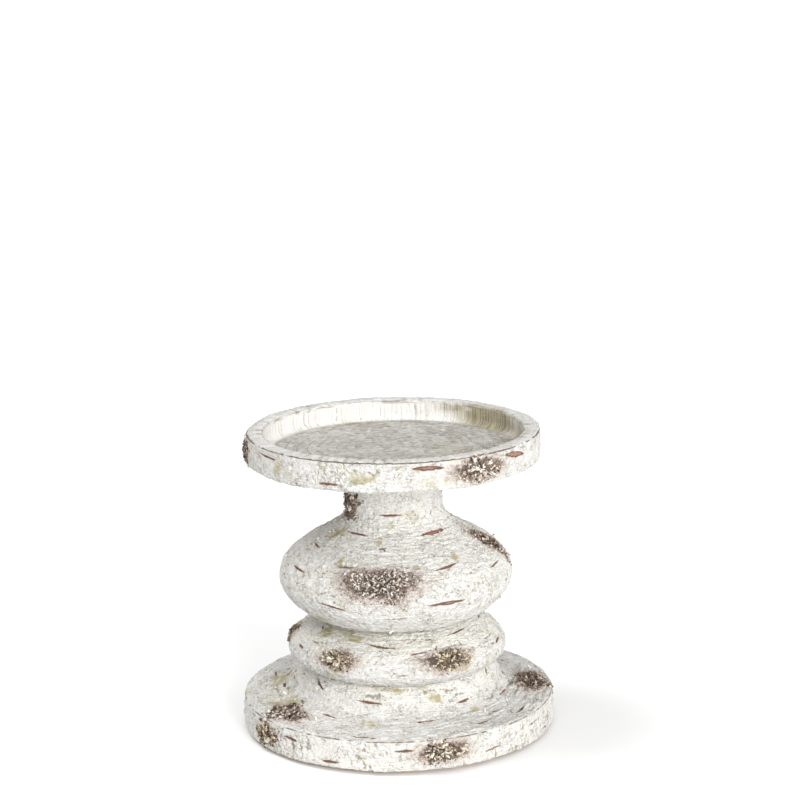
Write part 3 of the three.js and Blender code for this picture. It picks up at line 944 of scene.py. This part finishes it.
class Nodes:
    """Short ways to add shader nodes to one material."""

    def __init__(self, name):
        self.material = bpy.data.materials.new(name)
        self.material.use_nodes = True
        self.tree = self.material.node_tree
        self.tree.nodes.clear()
        self.output = self.tree.nodes.new("ShaderNodeOutputMaterial")
        self.shader = self.tree.nodes.new("ShaderNodeBsdfPrincipled")
        self.tree.links.new(self.shader.outputs[0], self.output.inputs[0])

    def put(self, socket, value):
        if isinstance(value, bpy.types.NodeSocket):
            self.tree.links.new(value, socket)
        else:
            socket.default_value = value

    def add(self, kind, inputs=(), **settings):
        made = self.tree.nodes.new(kind)
        for key, value in settings.items():
            setattr(made, key, value)
        for key, value in dict(inputs).items():
            self.put(made.inputs[key], value)
        return made

    def attribute(self, name, output="Fac"):
        return self.add("ShaderNodeAttribute", attribute_name=name).outputs[output]

    def object_coords(self):
        return self.add("ShaderNodeTexCoord").outputs["Object"]

    def scaled(self, vector, scale, turn=(0, 0, 0)):
        inputs = {"Vector": vector, "Scale": scale, "Rotation": turn}
        return self.add("ShaderNodeMapping", inputs).outputs[0]

    def noise(self, vector, scale, detail=4.0, roughness=0.6, distortion=0.0):
        inputs = {
            "Vector": vector,
            "Scale": scale,
            "Detail": detail,
            "Roughness": roughness,
            "Distortion": distortion,
        }
        return self.add("ShaderNodeTexNoise", inputs).outputs["Fac"]

    def math(self, operation, first, second=0.0, clamp=False):
        made = self.add("ShaderNodeMath", {0: first, 1: second}, operation=operation)
        made.use_clamp = clamp
        return made.outputs[0]

    def band(self, value, low, high, to_low=0.0, to_high=1.0):
        """Smooth step of a value from low to high."""
        inputs = {"Value": value, "From Min": low, "From Max": high, "To Min": to_low, "To Max": to_high}
        return self.add("ShaderNodeMapRange", inputs, interpolation_type="SMOOTHSTEP").outputs[0]

    def share(self, value, low, high, most):
        """Smooth step of a value that ends at most."""
        return self.band(value, low, high, 0.0, most)

    def thin_line(self, value, half_width, most):
        """Contour lines where a noise passes its middle."""
        away = self.math("ABSOLUTE", self.math("SUBTRACT", value, 0.5))
        return self.share(away, half_width, 0.0, most)

    def mix(self, share, first, second):
        made = self.add("ShaderNodeMix", data_type="RGBA")
        self.put(made.inputs[0], share)
        self.put(made.inputs[6], first if isinstance(first, bpy.types.NodeSocket) else (*first, 1))
        self.put(made.inputs[7], second if isinstance(second, bpy.types.NodeSocket) else (*second, 1))
        return made.outputs[2]

    def bump(self, height, distance, strength=1.0, normal=None):
        inputs = {"Height": height, "Distance": distance, "Strength": strength}
        if normal is not None:
            inputs["Normal"] = normal
        return self.add("ShaderNodeBump", inputs).outputs[0]

    def finish(self, color, roughness, normal=None, metallic=0.0, specular=0.25):
        self.put(self.shader.inputs["Base Color"], color)
        self.put(self.shader.inputs["Roughness"], roughness)
        self.shader.inputs["Metallic"].default_value = metallic
        self.shader.inputs["Specular IOR Level"].default_value = specular
        if normal is not None:
            self.put(self.shader.inputs["Normal"], normal)
        return self.material


def whitewashed_bark():
    n = Nodes("whitewashed_bark")
    unrolled = n.attribute("unrolled", "Vector")
    coords = n.object_coords()
    relief, cracks = n.attribute("relief"), n.attribute("cracks")
    marks, knots = n.attribute("marks"), n.attribute("knots")
    stains, lines = n.attribute("stains"), n.attribute("lines")

    clouds = n.noise(coords, 50, detail=3)
    patches = n.noise(coords, 170, detail=4, distortion=0.5)
    fibres = n.noise(n.scaled(unrolled, (170, 170, 1500)), 1, detail=5, roughness=0.7)
    slanted = n.noise(n.scaled(coords, (260, 700, 1100), turn=(0, 0.5, 0)), 1, detail=4, roughness=0.65)
    grains = n.noise(coords, 1250, detail=3, roughness=0.75)
    wrinkles = n.noise(coords, 330, detail=3, roughness=0.6, distortion=0.8)
    painted_relief_light = n.math("ADD", relief, n.math("MULTIPLY", n.math("SUBTRACT", grains, 0.5), 2.2))

    # White wash over a grey ground. Cream adds a warm tint and painted fill light in the grooves between
    # the pieces; the hollows of the relief get painted shade and its crests painted highlight.
    color = n.mix(n.band(clouds, 0.35, 0.65), (0.755, 0.745, 0.72), (0.70, 0.685, 0.645))
    color = n.mix(n.share(patches, 0.52, 0.72, 0.50), color, (0.64, 0.60, 0.495))
    color = n.mix(n.share(n.attribute("cream_and_painted_fill"), 0.0, 1.0, 0.85), color, (0.89, 0.865, 0.79))
    # Painted shade in the hollows of the relief.
    color = n.mix(n.share(painted_relief_light, -0.55, -1.25, 0.78), color, (0.26, 0.235, 0.18))
    # Painted highlight on the crests of the relief.
    color = n.mix(n.share(painted_relief_light, 0.1, 0.85, 0.90), color, (0.83, 0.825, 0.805))
    color = n.mix(n.share(fibres, 0.59, 0.67, 0.55), color, (0.30, 0.27, 0.215))
    color = n.mix(n.thin_line(slanted, 0.016, 0.70), color, (0.15, 0.13, 0.10))
    wrinkled = n.thin_line(wrinkles, 0.024, n.band(patches, 0.46, 0.58, 0.0, 0.80))
    color = n.mix(wrinkled, color, (0.14, 0.12, 0.09))
    speckled = n.band(patches, 0.42, 0.60, 0.06, 0.60)
    speckle = n.math("MULTIPLY", n.share(grains, 0.60, 0.69, 1.0), speckled)
    color = n.mix(speckle, color, (0.22, 0.20, 0.155))

    # Lichen and varnish stains.
    faint = n.share(n.noise(coords, 85, detail=3), 0.58, 0.74, 0.30)
    color = n.mix(faint, color, (0.60, 0.55, 0.36))
    spotted = n.math("MULTIPLY", stains, n.band(patches, 0.30, 0.62, 0.35, 1.0))
    color = n.mix(n.share(spotted, 0.08, 0.50, 0.80), color, (0.44, 0.38, 0.185))

    crack_depth = n.math("MULTIPLY", cracks, n.band(patches, 0.30, 0.62, 0.40, 1.0))
    color = n.mix(n.share(crack_depth, 0.25, 0.9, 0.62), color, (0.33, 0.30, 0.225))
    color = n.mix(n.share(lines, 0.10, 0.65, 0.95), color, (0.13, 0.10, 0.07))

    # Round a knot the wash is thin and pinkish brown, with dark grains.
    halo = n.math("ADD", knots, n.math("MULTIPLY", n.math("SUBTRACT", grains, 0.5), 1.6))
    color = n.mix(n.share(halo, -0.60, 0.05, 0.60), color, (0.52, 0.425, 0.375))
    color = n.mix(n.share(halo, -0.12, 0.22, 0.75), color, (0.27, 0.195, 0.15))
    color = n.mix(n.share(halo, 0.10, 0.42, 0.9), color, (0.10, 0.072, 0.056))

    # Bark marks: red-brown at the edge, nearly black along the middle.
    streaks = n.noise(n.scaled(unrolled, (420, 420, 1900)), 1, detail=3, roughness=0.7)
    edge = n.math("ADD", marks, n.math("MULTIPLY", n.math("SUBTRACT", streaks, 0.5), 0.8))
    in_mark = n.share(edge, -0.06, 0.16, 0.94)
    core = n.share(edge, 0.06, 0.33, 0.9)
    wide = n.share(edge, 0.40, 0.80, 0.85)
    mark_color = n.mix(core, (0.40, 0.205, 0.135), (0.10, 0.046, 0.030))
    mark_color = n.mix(wide, mark_color, (0.44, 0.235, 0.16))
    mark_color = n.mix(n.share(grains, 0.54, 0.62, 0.55), mark_color, (0.09, 0.048, 0.032))
    color = n.mix(in_mark, color, mark_color)

    relief_height = n.math("ADD", n.math("MULTIPLY", fibres, 0.5), n.math("MULTIPLY", grains, 0.9))
    relief_height = n.math("ADD", relief_height, n.math("MULTIPLY", slanted, 0.9))
    relief_height = n.math("SUBTRACT", relief_height, n.math("MULTIPLY", wrinkled, 0.15))
    roughness = n.band(clouds, 0.3, 0.7, 0.72, 0.92)
    return n.finish(color, roughness, n.bump(relief_height, 0.0014, 1.0))


def growth_rings(n, coords, spacing, width):
    """Thin growth rings round the pith. The spacing is a share of the usual one."""
    pith = (PITH[0] * MM, PITH[1] * MM, WELL_FLOOR * MM)
    away = n.add("ShaderNodeVectorMath", {0: coords, 1: pith}, operation="DISTANCE").outputs["Value"]
    drift = n.math("MULTIPLY", n.noise(coords, 18, detail=3, roughness=0.4), 2.4 / spacing)
    turns = n.math("MULTIPLY", away, 1 / (RING_SPACING * MM * spacing))
    return n.share(n.math("PINGPONG", n.math("ADD", turns, drift), 0.5), width, 0.0, 1.0)


def washed_wood():
    """Cut end grain in the dish, washed over with thin white."""
    n = Nodes("washed_cut_wood")
    coords = n.object_coords()
    unrolled = n.attribute("unrolled", "Vector")
    relief = n.attribute("relief")
    floor, rim, stains = n.attribute("floor"), n.attribute("rim"), n.attribute("stains")
    clouds = n.noise(coords, 60, detail=4, roughness=0.65)
    patches = n.noise(coords, 190, detail=5, roughness=0.7, distortion=0.6)
    grains = n.noise(coords, 1200, detail=3, roughness=0.75)
    ribs = n.noise(n.scaled(unrolled, (1900, 1900, 60)), 1, detail=2)
    turned = n.noise(n.scaled(unrolled, (90, 90, 1300)), 1, detail=4)

    ground = n.mix(n.band(clouds, 0.35, 0.68), (0.44, 0.43, 0.405), (0.35, 0.335, 0.305))
    ground = n.mix(n.share(patches, 0.50, 0.64, 0.60), ground, (0.26, 0.235, 0.195))
    ground = n.mix(n.share(patches, 0.46, 0.30, 0.45), ground, (0.49, 0.48, 0.46))
    fine_rings = growth_rings(n, coords, 0.42, 0.11)
    fine_rings = n.math("MULTIPLY", fine_rings, n.band(clouds, 0.35, 0.6, 0.1, 0.5))
    ground = n.mix(fine_rings, ground, (0.20, 0.18, 0.145))
    bold_rings = growth_rings(n, coords, 1.0, 0.06)
    bold_rings = n.math("MULTIPLY", bold_rings, n.band(clouds, 0.40, 0.52, 0.0, 0.85))
    ground = n.mix(bold_rings, ground, (0.13, 0.115, 0.09))

    wall_color = n.mix(n.share(ribs, 0.48, 0.62, 0.50), (0.72, 0.71, 0.68), (0.37, 0.345, 0.28))
    rim_color = n.mix(n.share(turned, 0.50, 0.62, 0.85), (0.575, 0.565, 0.545), (0.22, 0.20, 0.17))
    color = n.mix(floor, wall_color, ground)
    color = n.mix(rim, color, rim_color)

    # Painted shade in the hollows of the relief and painted highlight on its crests, broken up by fine
    # grain.
    painted_light_and_tone = n.math("ADD", relief, n.math("MULTIPLY", n.math("SUBTRACT", grains, 0.5), 2.0))
    color = n.mix(n.share(painted_light_and_tone, -0.2, -1.1, 0.6), color, (0.19, 0.17, 0.135))
    color = n.mix(n.share(painted_light_and_tone, 0.2, 1.1, 0.55), color, (0.70, 0.69, 0.665))
    color = n.mix(n.share(n.attribute("lines"), 0.1, 0.8, 0.7), color, (0.22, 0.195, 0.155))
    stained = n.math("MULTIPLY", stains, n.band(patches, 0.25, 0.60, 0.55, 1.0))
    stain_color = n.mix(n.band(ribs, 0.42, 0.60), (0.33, 0.27, 0.12), (0.13, 0.105, 0.05))
    color = n.mix(n.share(stained, 0.03, 0.6, 0.78), color, stain_color)
    height = n.math("ADD", n.math("MULTIPLY", patches, 0.5), n.math("MULTIPLY", grains, 0.7))
    return n.finish(color, n.band(clouds, 0.3, 0.7, 0.65, 0.85), n.bump(height, 0.0010, 1.0))


def raw_wood():
    """Bare turned wood on the faces that touch or can't be seen."""
    n = Nodes("raw_turned_wood")
    coords = n.object_coords()
    grain = n.noise(n.scaled(coords, (60, 900, 60)), 1, detail=5, distortion=0.3)
    color = n.mix(n.band(grain, 0.35, 0.7), (0.62, 0.47, 0.31), (0.44, 0.31, 0.19))
    return n.finish(color, n.band(grain, 0.3, 0.7, 0.55, 0.75), n.bump(grain, 0.0002, 0.5))


def bark_crumbs(name, olive):
    """Crumbs of bark, from nearly black to dry cream, by the tone kept on each crumb."""
    n = Nodes(name)
    coords = n.object_coords()
    tone = n.attribute("tone")
    fleck = n.noise(coords, 1100, detail=4, roughness=0.7)
    # Dark tones partly paint shade deep in the heap and pale tones partly paint highlight on the highest
    # crumbs.
    painted_light_and_tone = n.math("ADD", tone, n.math("MULTIPLY", n.math("SUBTRACT", fleck, 0.5), 0.7))
    pale = n.mix(olive, (0.63, 0.595, 0.55), (0.52, 0.465, 0.31))
    middle = n.mix(olive, (0.32, 0.26, 0.215), (0.28, 0.225, 0.13))
    color = n.mix(n.band(painted_light_and_tone, 0.10, 0.40), (0.045, 0.032, 0.026), (0.17, 0.12, 0.09))
    color = n.mix(n.band(painted_light_and_tone, 0.42, 0.66), color, middle)
    color = n.mix(n.band(painted_light_and_tone, 0.66, 0.90), color, pale)
    return n.finish(color, n.band(fleck, 0.3, 0.7, 0.75, 0.95), n.bump(fleck, 0.0003, 0.8))


def peeled_flakes():
    """Thin shards of washed bark, some of them yellowed, by the tone kept on each shard."""
    n = Nodes("peeled_bark_flakes")
    fleck = n.noise(n.object_coords(), 1100, detail=4)
    color = n.mix(n.band(n.attribute("tone"), 0.10, 0.22), (0.40, 0.36, 0.24), (0.60, 0.585, 0.545))
    color = n.mix(n.share(fleck, 0.55, 0.7, 0.5), color, (0.45, 0.41, 0.33))
    return n.finish(color, 0.85, n.bump(fleck, 0.0002, 0.6))


def steel_finish():
    n = Nodes("bright_zinc_steel")
    brushed = n.noise(n.scaled(n.object_coords(), (300, 300, 4000)), 1, detail=3)
    color = n.mix(brushed, (0.60, 0.61, 0.62), (0.72, 0.73, 0.74))
    roughness = n.band(brushed, 0.3, 0.7, 0.25, 0.42)
    return n.finish(color, roughness, n.bump(brushed, 0.00005, 0.4), metallic=1.0, specular=0.5)


def brass_finish():
    n = Nodes("plain_brass")
    brushed = n.noise(n.scaled(n.object_coords(), (300, 300, 3000)), 1, detail=3)
    color = n.mix(brushed, (0.66, 0.50, 0.22), (0.76, 0.60, 0.30))
    roughness = n.band(brushed, 0.3, 0.7, 0.25, 0.45)
    return n.finish(color, roughness, n.bump(brushed, 0.00005, 0.4), metallic=1.0, specular=0.5)


def beech_finish():
    n = Nodes("beech_dowel")
    grain = n.noise(n.scaled(n.object_coords(), (900, 900, 90)), 1, detail=5)
    color = n.mix(n.band(grain, 0.35, 0.7), (0.66, 0.50, 0.33), (0.50, 0.35, 0.21))
    return n.finish(color, n.band(grain, 0.3, 0.7, 0.5, 0.7), n.bump(grain, 0.0001, 0.5))


def felt_finish():
    n = Nodes("pressed_felt")
    coords = n.object_coords()
    fuzz = n.noise(coords, 2600, detail=4, roughness=0.8)
    clumps = n.noise(coords, 260, detail=4)
    color = n.mix(n.band(clumps, 0.35, 0.7), (0.38, 0.35, 0.30), (0.29, 0.265, 0.225))
    color = n.mix(n.band(fuzz, 0.45, 0.75), color, (0.50, 0.47, 0.41))
    relief = n.math("ADD", n.math("MULTIPLY", fuzz, 0.7), n.math("MULTIPLY", clumps, 0.5))
    return n.finish(color, 0.95, n.bump(relief, 0.0005, 0.9))


# ---- Bark knots as heaps of crumbs -------------------------------------------------------------

# (crumb size in millimetres, share of pale crumbs, how far they fan out, olive tint,
#  how much wider and how much taller than the knot's solid, degrees to the right)
KNOT_LOOKS = {
    "dish_knot_front": (0.72, 0.58, 1.0, 0.1, 0.76, 1.14, 0),
    "dish_knot_left": (0.85, 0.22, 0.5, 0.3, 1.0, 1.15, 0),
    "neck_knot_left": (0.95, 0.16, 0.3, 0.2, 1.35, 1.1, 7),
    "upper_knot_front": (0.46, 0.52, 0.4, 0.0, 0.92, 1.15, 0),
    "upper_knot_right": (0.62, 0.22, 0.5, 0.2, 1.0, 1.0, 0),
    "lower_knot_left": (0.70, 0.20, 0.4, 0.3, 1.0, 1.0, 0),
    "lower_knot_front_left": (0.70, 0.50, 0.9, 0.5, 0.9, 1.1, 0),
    "lower_knot_front_right": (0.62, 0.46, 0.8, 0.8, 0.8, 1.1, 3),
    "base_knot_left": (0.72, 0.30, 0.9, 0.1, 1.1, 1.25, 0),
    "base_knot_right": (0.66, 0.20, 0.7, 0.4, 0.85, 1.35, -2),
    "rim_knot_left": (0.80, 0.32, 0.7, 0.6, 1.2, 1.3, 0),
    "rim_knot_front": (0.62, 0.50, 0.7, 0.4, 0.95, 1.05, 0),
}
USUAL_KNOT_LOOK = (0.68, 0.45, 0.7, 0.3, 1.0, 1.0, 0)


def add_crumb(bm, tone_layer, place, tone):
    """One angular crumb: a block or a few-sided ball with its corners knocked about."""
    if RANDOM.random() < 0.6:
        made = bmesh.ops.create_cube(bm, size=1.7, matrix=place)
    else:
        made = bmesh.ops.create_icosphere(bm, subdivisions=1, radius=1.0, matrix=place)
    turn = place.to_3x3()
    for vert in made["verts"]:
        jitter = Vector((RANDOM.uniform(-1, 1), RANDOM.uniform(-1, 1), RANDOM.uniform(-1, 1)))
        vert.co += turn @ jitter * 0.42
        vert[tone_layer] = tone + RANDOM.uniform(-0.08, 0.08)


def place_on_side(side, angle, walked, lift, lean, size):
    """A placing matrix for a small shape of a size in millimetres on a turned side."""
    walked = min(max(walked, 0.3), side.walked[-1] - 0.3)
    point, round_it, up_it, outward = on_side(side, angle, walked, lift)
    facing = Matrix((round_it, up_it, outward)).transposed().to_4x4()
    stretch = Matrix.Diagonal((size[0] * MM, size[1] * MM, size[2] * MM, 1))
    return Matrix.Translation(point) @ facing @ lean.to_matrix().to_4x4() @ stretch


def build_knot(knot):
    """A crumbly knot: dark crumbs deep down, paler ones more often on top that fan out, a few strays.
    The dark tones deep in the heap are partly painted shade, the pale tops partly painted highlight.
    """
    crumb_size, pale_share, fan, _, wider, taller, shift = KNOT_LOOKS.get(knot["name"], USUAL_KNOT_LOOK)
    bm = bmesh.new()
    tone_layer = bm.verts.layers.float.new("tone")
    width, length = knot["width"] * wider, knot["length"] * taller
    count = int(width * length * 0.85 / crumb_size**1.6)
    tilt = math.radians(knot["tilt"])
    phase = math.radians(knot["angle"]) * 5
    for index in range(count):
        stray = index > count * 0.86
        reach = RANDOM.uniform(0.95, 1.3) if stray else math.sqrt(RANDOM.random()) * 0.97
        bearing = RANDOM.uniform(0, 2 * math.pi)
        ragged = 0.92 + 0.15 * math.sin(3 * bearing + phase) + 0.1 * math.sin(5 * bearing - phase)
        run = reach * ragged * math.cos(bearing) * width / 2
        rise = reach * ragged * math.sin(bearing) * length / 2
        across = run * math.cos(tilt) - rise * math.sin(tilt)
        along = run * math.sin(tilt) + rise * math.cos(tilt)
        level = RANDOM.random()
        lift = 0.2 + max(0.0, 1 - reach**2) * 1.5 * level
        spread = math.atan2(rise, run) + RANDOM.gauss(0, 0.9 - 0.6 * fan)
        lean = Euler((RANDOM.gauss(0, 0.35), RANDOM.gauss(-0.45 * fan, 0.35), spread))
        size = crumb_size * RANDOM.uniform(0.45, 1.2) * (0.6 if stray else 1.0)
        stretched = size * RANDOM.uniform(0.8, 1.3 + 0.6 * fan)
        shape = (stretched, size * RANDOM.uniform(0.4, 0.8), size * 0.5)
        # Crumbs that stand higher are more often pale: partly the bark's own colour, partly painted
        # highlight.
        if RANDOM.random() < pale_share * (0.5 if stray else 0.45 + 0.9 * level):
            tone = RANDOM.uniform(0.62, 1.0)
        else:
            tone = RANDOM.uniform(0.05, 0.60)
        radius = knot["side"].place(knot["walked"] + along)[0]
        angle = knot["angle"] + shift + math.degrees(across / radius)
        place = place_on_side(knot["side"], angle, knot["walked"] + along, lift, lean, shape)
        add_crumb(bm, tone_layer, place, tone)
    return shown(knot["name"] + "_crumbs", bm, smooth=False)


# ---- Flakes and curls --------------------------------------------------------------------------

# (piece, how many, from this share of the way up its side, to this share)
FLAKE_PATCHES = [
    ("upper", 90, 0.42, 0.95),
    ("upper", 40, 0.1, 0.42),
    ("lower", 50, 0.2, 0.95),
    ("base", 100, 0.30, 0.95),
    ("base", 30, 0.03, 0.28),
    ("dish", 30, 0.78, 0.97),
]


def build_flakes(side_name):
    """Thin shards of bark that lift off one turned piece."""
    bm = bmesh.new()
    tone_layer = bm.verts.layers.float.new("tone")
    side = SIDES[side_name]
    for _, count, low, high in [patch for patch in FLAKE_PATCHES if patch[0] == side_name]:
        for _ in range(count):
            angle = RANDOM.uniform(-180, 180)
            walked = side.walked[-1] * RANDOM.uniform(low, high)
            lean = Euler((RANDOM.gauss(0, 0.35), RANDOM.gauss(0, 0.3), RANDOM.gauss(0, 0.8)))
            size = (RANDOM.uniform(0.3, 1.0), RANDOM.uniform(0.18, 0.5), 0.10)
            place = place_on_side(side, angle, walked, RANDOM.uniform(0.25, 0.5), lean, size)
            made = bmesh.ops.create_cube(bm, size=2.0, matrix=place)
            tone = RANDOM.random()
            for vert in made["verts"]:
                jitter = Vector((RANDOM.uniform(-1, 1), RANDOM.uniform(-1, 1), 0))
                vert.co += place.to_3x3() @ jitter * 0.45
                vert[tone_layer] = tone
    return shown(side_name + "_flakes", bm, smooth=False)


# (angle, height above the piece's lower edge, radius of the curl, turn)
CURLS = [
    (78, 27, 1.6, 0.4),
    (84, 24, 1.2, -0.5),
    (70, 36, 1.3, 1.1),
    (88, 30, 1.9, 0.2),
    (-49, 44, 1.2, 0.8),
    (-70, 41, 0.9, 2.0),
    (205, 33, 1.5, 0.5),
    (160, 38, 1.3, 1.4),
]


def build_curls():
    """Papery strips that stand off the upper bulb and curl over."""
    bm = bmesh.new()
    tone_layer = bm.verts.layers.float.new("tone")
    side = SIDES["upper"]
    bottom = side.points[:, 1].min()
    for angle, height, radius, turn in CURLS:
        walked = float(side.walked[np.argmin(np.abs(side.points[:, 1] - bottom - height))])
        place = place_on_side(side, angle, walked, 0.1, Euler((0, 0, turn)), (1, 1, 1))
        strip = bmesh.ops.create_grid(bm, x_segments=12, y_segments=1, size=1.0)["verts"]
        for vert in strip:
            bend = (vert.co.x + 1) / 2 * math.radians(230)
            narrow = 0.42 * (1 - 0.5 * (vert.co.x + 1) / 2)
            bent = (math.sin(bend) * radius, vert.co.y * narrow, (1 - math.cos(bend)) * radius * 0.75)
            vert.co = place @ Vector(bent)
            vert[tone_layer] = 0.8
        faces = list({face for vert in strip for face in vert.link_faces})
        bmesh.ops.solidify(bm, geom=faces, thickness=0.09 * MM)
    bmesh.ops.recalc_face_normals(bm, faces=bm.faces)
    return shown("upper_bulb_curls", bm)


# ---- Felt --------------------------------------------------------------------------------------


def build_felt():
    radius = radius_of("felt_disc")
    top = top_of("felt_disc")
    edge = rounded((radius - 0.5, top - 0.5), 0.5, 0, 90, 3)
    foot = rounded((radius - 0.5, 0.5), 0.5, -90, 0, 3)
    outline = evenly([(0.0, 0.0), foot[0]], 2.5) + foot[1:] + edge
    outline += evenly([edge[-1], (0.0, top)], 8)[1:]
    disc = spin_shell("felt_pad", [(HIDDEN, outline)], columns=240, closed=False)
    mesh = disc.data
    surface = Surface(positions(mesh), read_points(mesh, "walked"), 903)
    rim = smoothstep(radius - 1.5, radius, surface.radius) * smoothstep(0.0, 0.5, surface.height)
    push_out(mesh, rim * 0.2 * surface.noise(1.6, 0.8))
    return disc


# ---- Assembly ----------------------------------------------------------------------------------


def give(piece, *materials):
    piece.data.materials.clear()
    for material in materials:
        piece.data.materials.append(material)


def assign_zones(piece):
    """Faces take the material of their zone: bark in slot 0, bare wood in 1, cut wood in 2."""
    mesh = piece.data
    zone = read_points(mesh, "zone")
    corners = np.zeros(len(mesh.loops), np.int32)
    mesh.loops.foreach_get("vertex_index", corners)
    starts = np.zeros(len(mesh.polygons), np.int32)
    mesh.polygons.foreach_get("loop_start", starts)
    lowest = np.minimum.reduceat(zone[corners], starts)
    highest = np.maximum.reduceat(zone[corners], starts)
    slots = np.where(lowest < 0.5, 1, np.where(highest > 1.5, 2, 0))
    mesh.polygons.foreach_set("material_index", slots.astype(np.int32))


def place_piece(piece, slot, *nodes):
    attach(piece, "root")
    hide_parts(*nodes)


bark, bare, cut = whitewashed_bark(), raw_wood(), washed_wood()
turnings = {
    "candle_dish": build_dish(),
    "upper_bulb": build_upper_bulb(),
    "lower_bulb": build_lower_bulb(),
    "base": build_base(),
}
for node, turning in turnings.items():
    give(turning, bark, bare, cut)
    assign_zones(turning)
    place_piece(turning, "whitewashed_bark", node)

for knot in KNOTS:
    heap = build_knot(knot)
    olive = KNOT_LOOKS.get(knot["name"], USUAL_KNOT_LOOK)[3]
    give(heap, bark_crumbs(knot["name"] + "_bark", olive))
    place_piece(heap, "dark_bark", knot["name"])

flake_finish = peeled_flakes()
for small in [build_flakes(side_name) for side_name in SIDES] + [build_curls()]:
    give(small, flake_finish)
    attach(small, "root")

felt = build_felt()
give(felt, felt_finish())
place_piece(felt, "felt", "felt_disc")

steel, brass, beech = steel_finish(), brass_finish(), beech_finish()
hardware = {
    "tie_bolt": steel,
    "bolt_washer": steel,
    "threaded_insert": brass,
    "base_dowel_1": beech,
    "base_dowel_2": beech,
    "waist_dowel_1": beech,
    "waist_dowel_2": beech,
}
for node, material in hardware.items():
    give(frame["nodes"][node], material)

# ---- Floor, light and camera -------------------------------------------------------------------


def build_floor():
    bm = bmesh.new()
    bmesh.ops.create_grid(bm, x_segments=2, y_segments=2, size=20.0)
    floor = shown("floor", bm, smooth=False)
    n = Nodes("white_floor")
    give(floor, n.finish((0.80, 0.80, 0.80, 1), 0.9))


def put_light(light, place, target):
    holder = bpy.data.objects.new(light.name, light)
    bpy.context.scene.collection.objects.link(holder)
    holder.location = place
    holder.rotation_euler = (Vector(target) - Vector(place)).to_track_quat("-Z", "Y").to_euler()


def build_lights():
    left = bpy.data.lights.new("left_window", "SUN")
    left.energy = 1.3
    left.angle = math.radians(30)
    put_light(left, (-0.60, 0.08, 1.1), (0, 0, 0))
    front = bpy.data.lights.new("front_softbox", "SUN")
    front.energy = 3.8
    front.angle = math.radians(34)
    put_light(front, (0.62, -1.15, 0.34), (0, 0, 0))


def build_world():
    world = bpy.data.worlds.new("studio")
    bpy.context.scene.world = world
    world.use_nodes = True
    background = world.node_tree.nodes["Background"]
    background.inputs["Color"].default_value = (1, 1, 1, 1)
    background.inputs["Strength"].default_value = 0.83


def build_camera():
    camera = bpy.data.cameras.new("camera")
    camera.lens = 98.5
    camera.sensor_width = 36
    holder = bpy.data.objects.new("camera", camera)
    bpy.context.scene.collection.objects.link(holder)
    elevation = math.radians(12.27)
    roll = math.radians(-1.15)
    aim = Vector((3.1, 0, 138.1)) * MM
    distance = 899.8 * MM
    forward = Vector((0, math.cos(elevation), -math.sin(elevation)))
    right = Vector((1, 0, 0))
    up = right.cross(forward)
    rolled_right = right * math.cos(roll) + up * math.sin(roll)
    rolled_up = up * math.cos(roll) - right * math.sin(roll)
    turn = Matrix((rolled_right, rolled_up, -forward)).transposed().to_4x4()
    holder.matrix_world = Matrix.Translation(aim - forward * distance) @ turn
    bpy.context.scene.camera = holder


build_floor()
build_world()
build_lights()
build_camera()
bpy.context.scene.view_settings.view_transform = "Standard"
bpy.context.scene.view_settings.exposure = 0.08
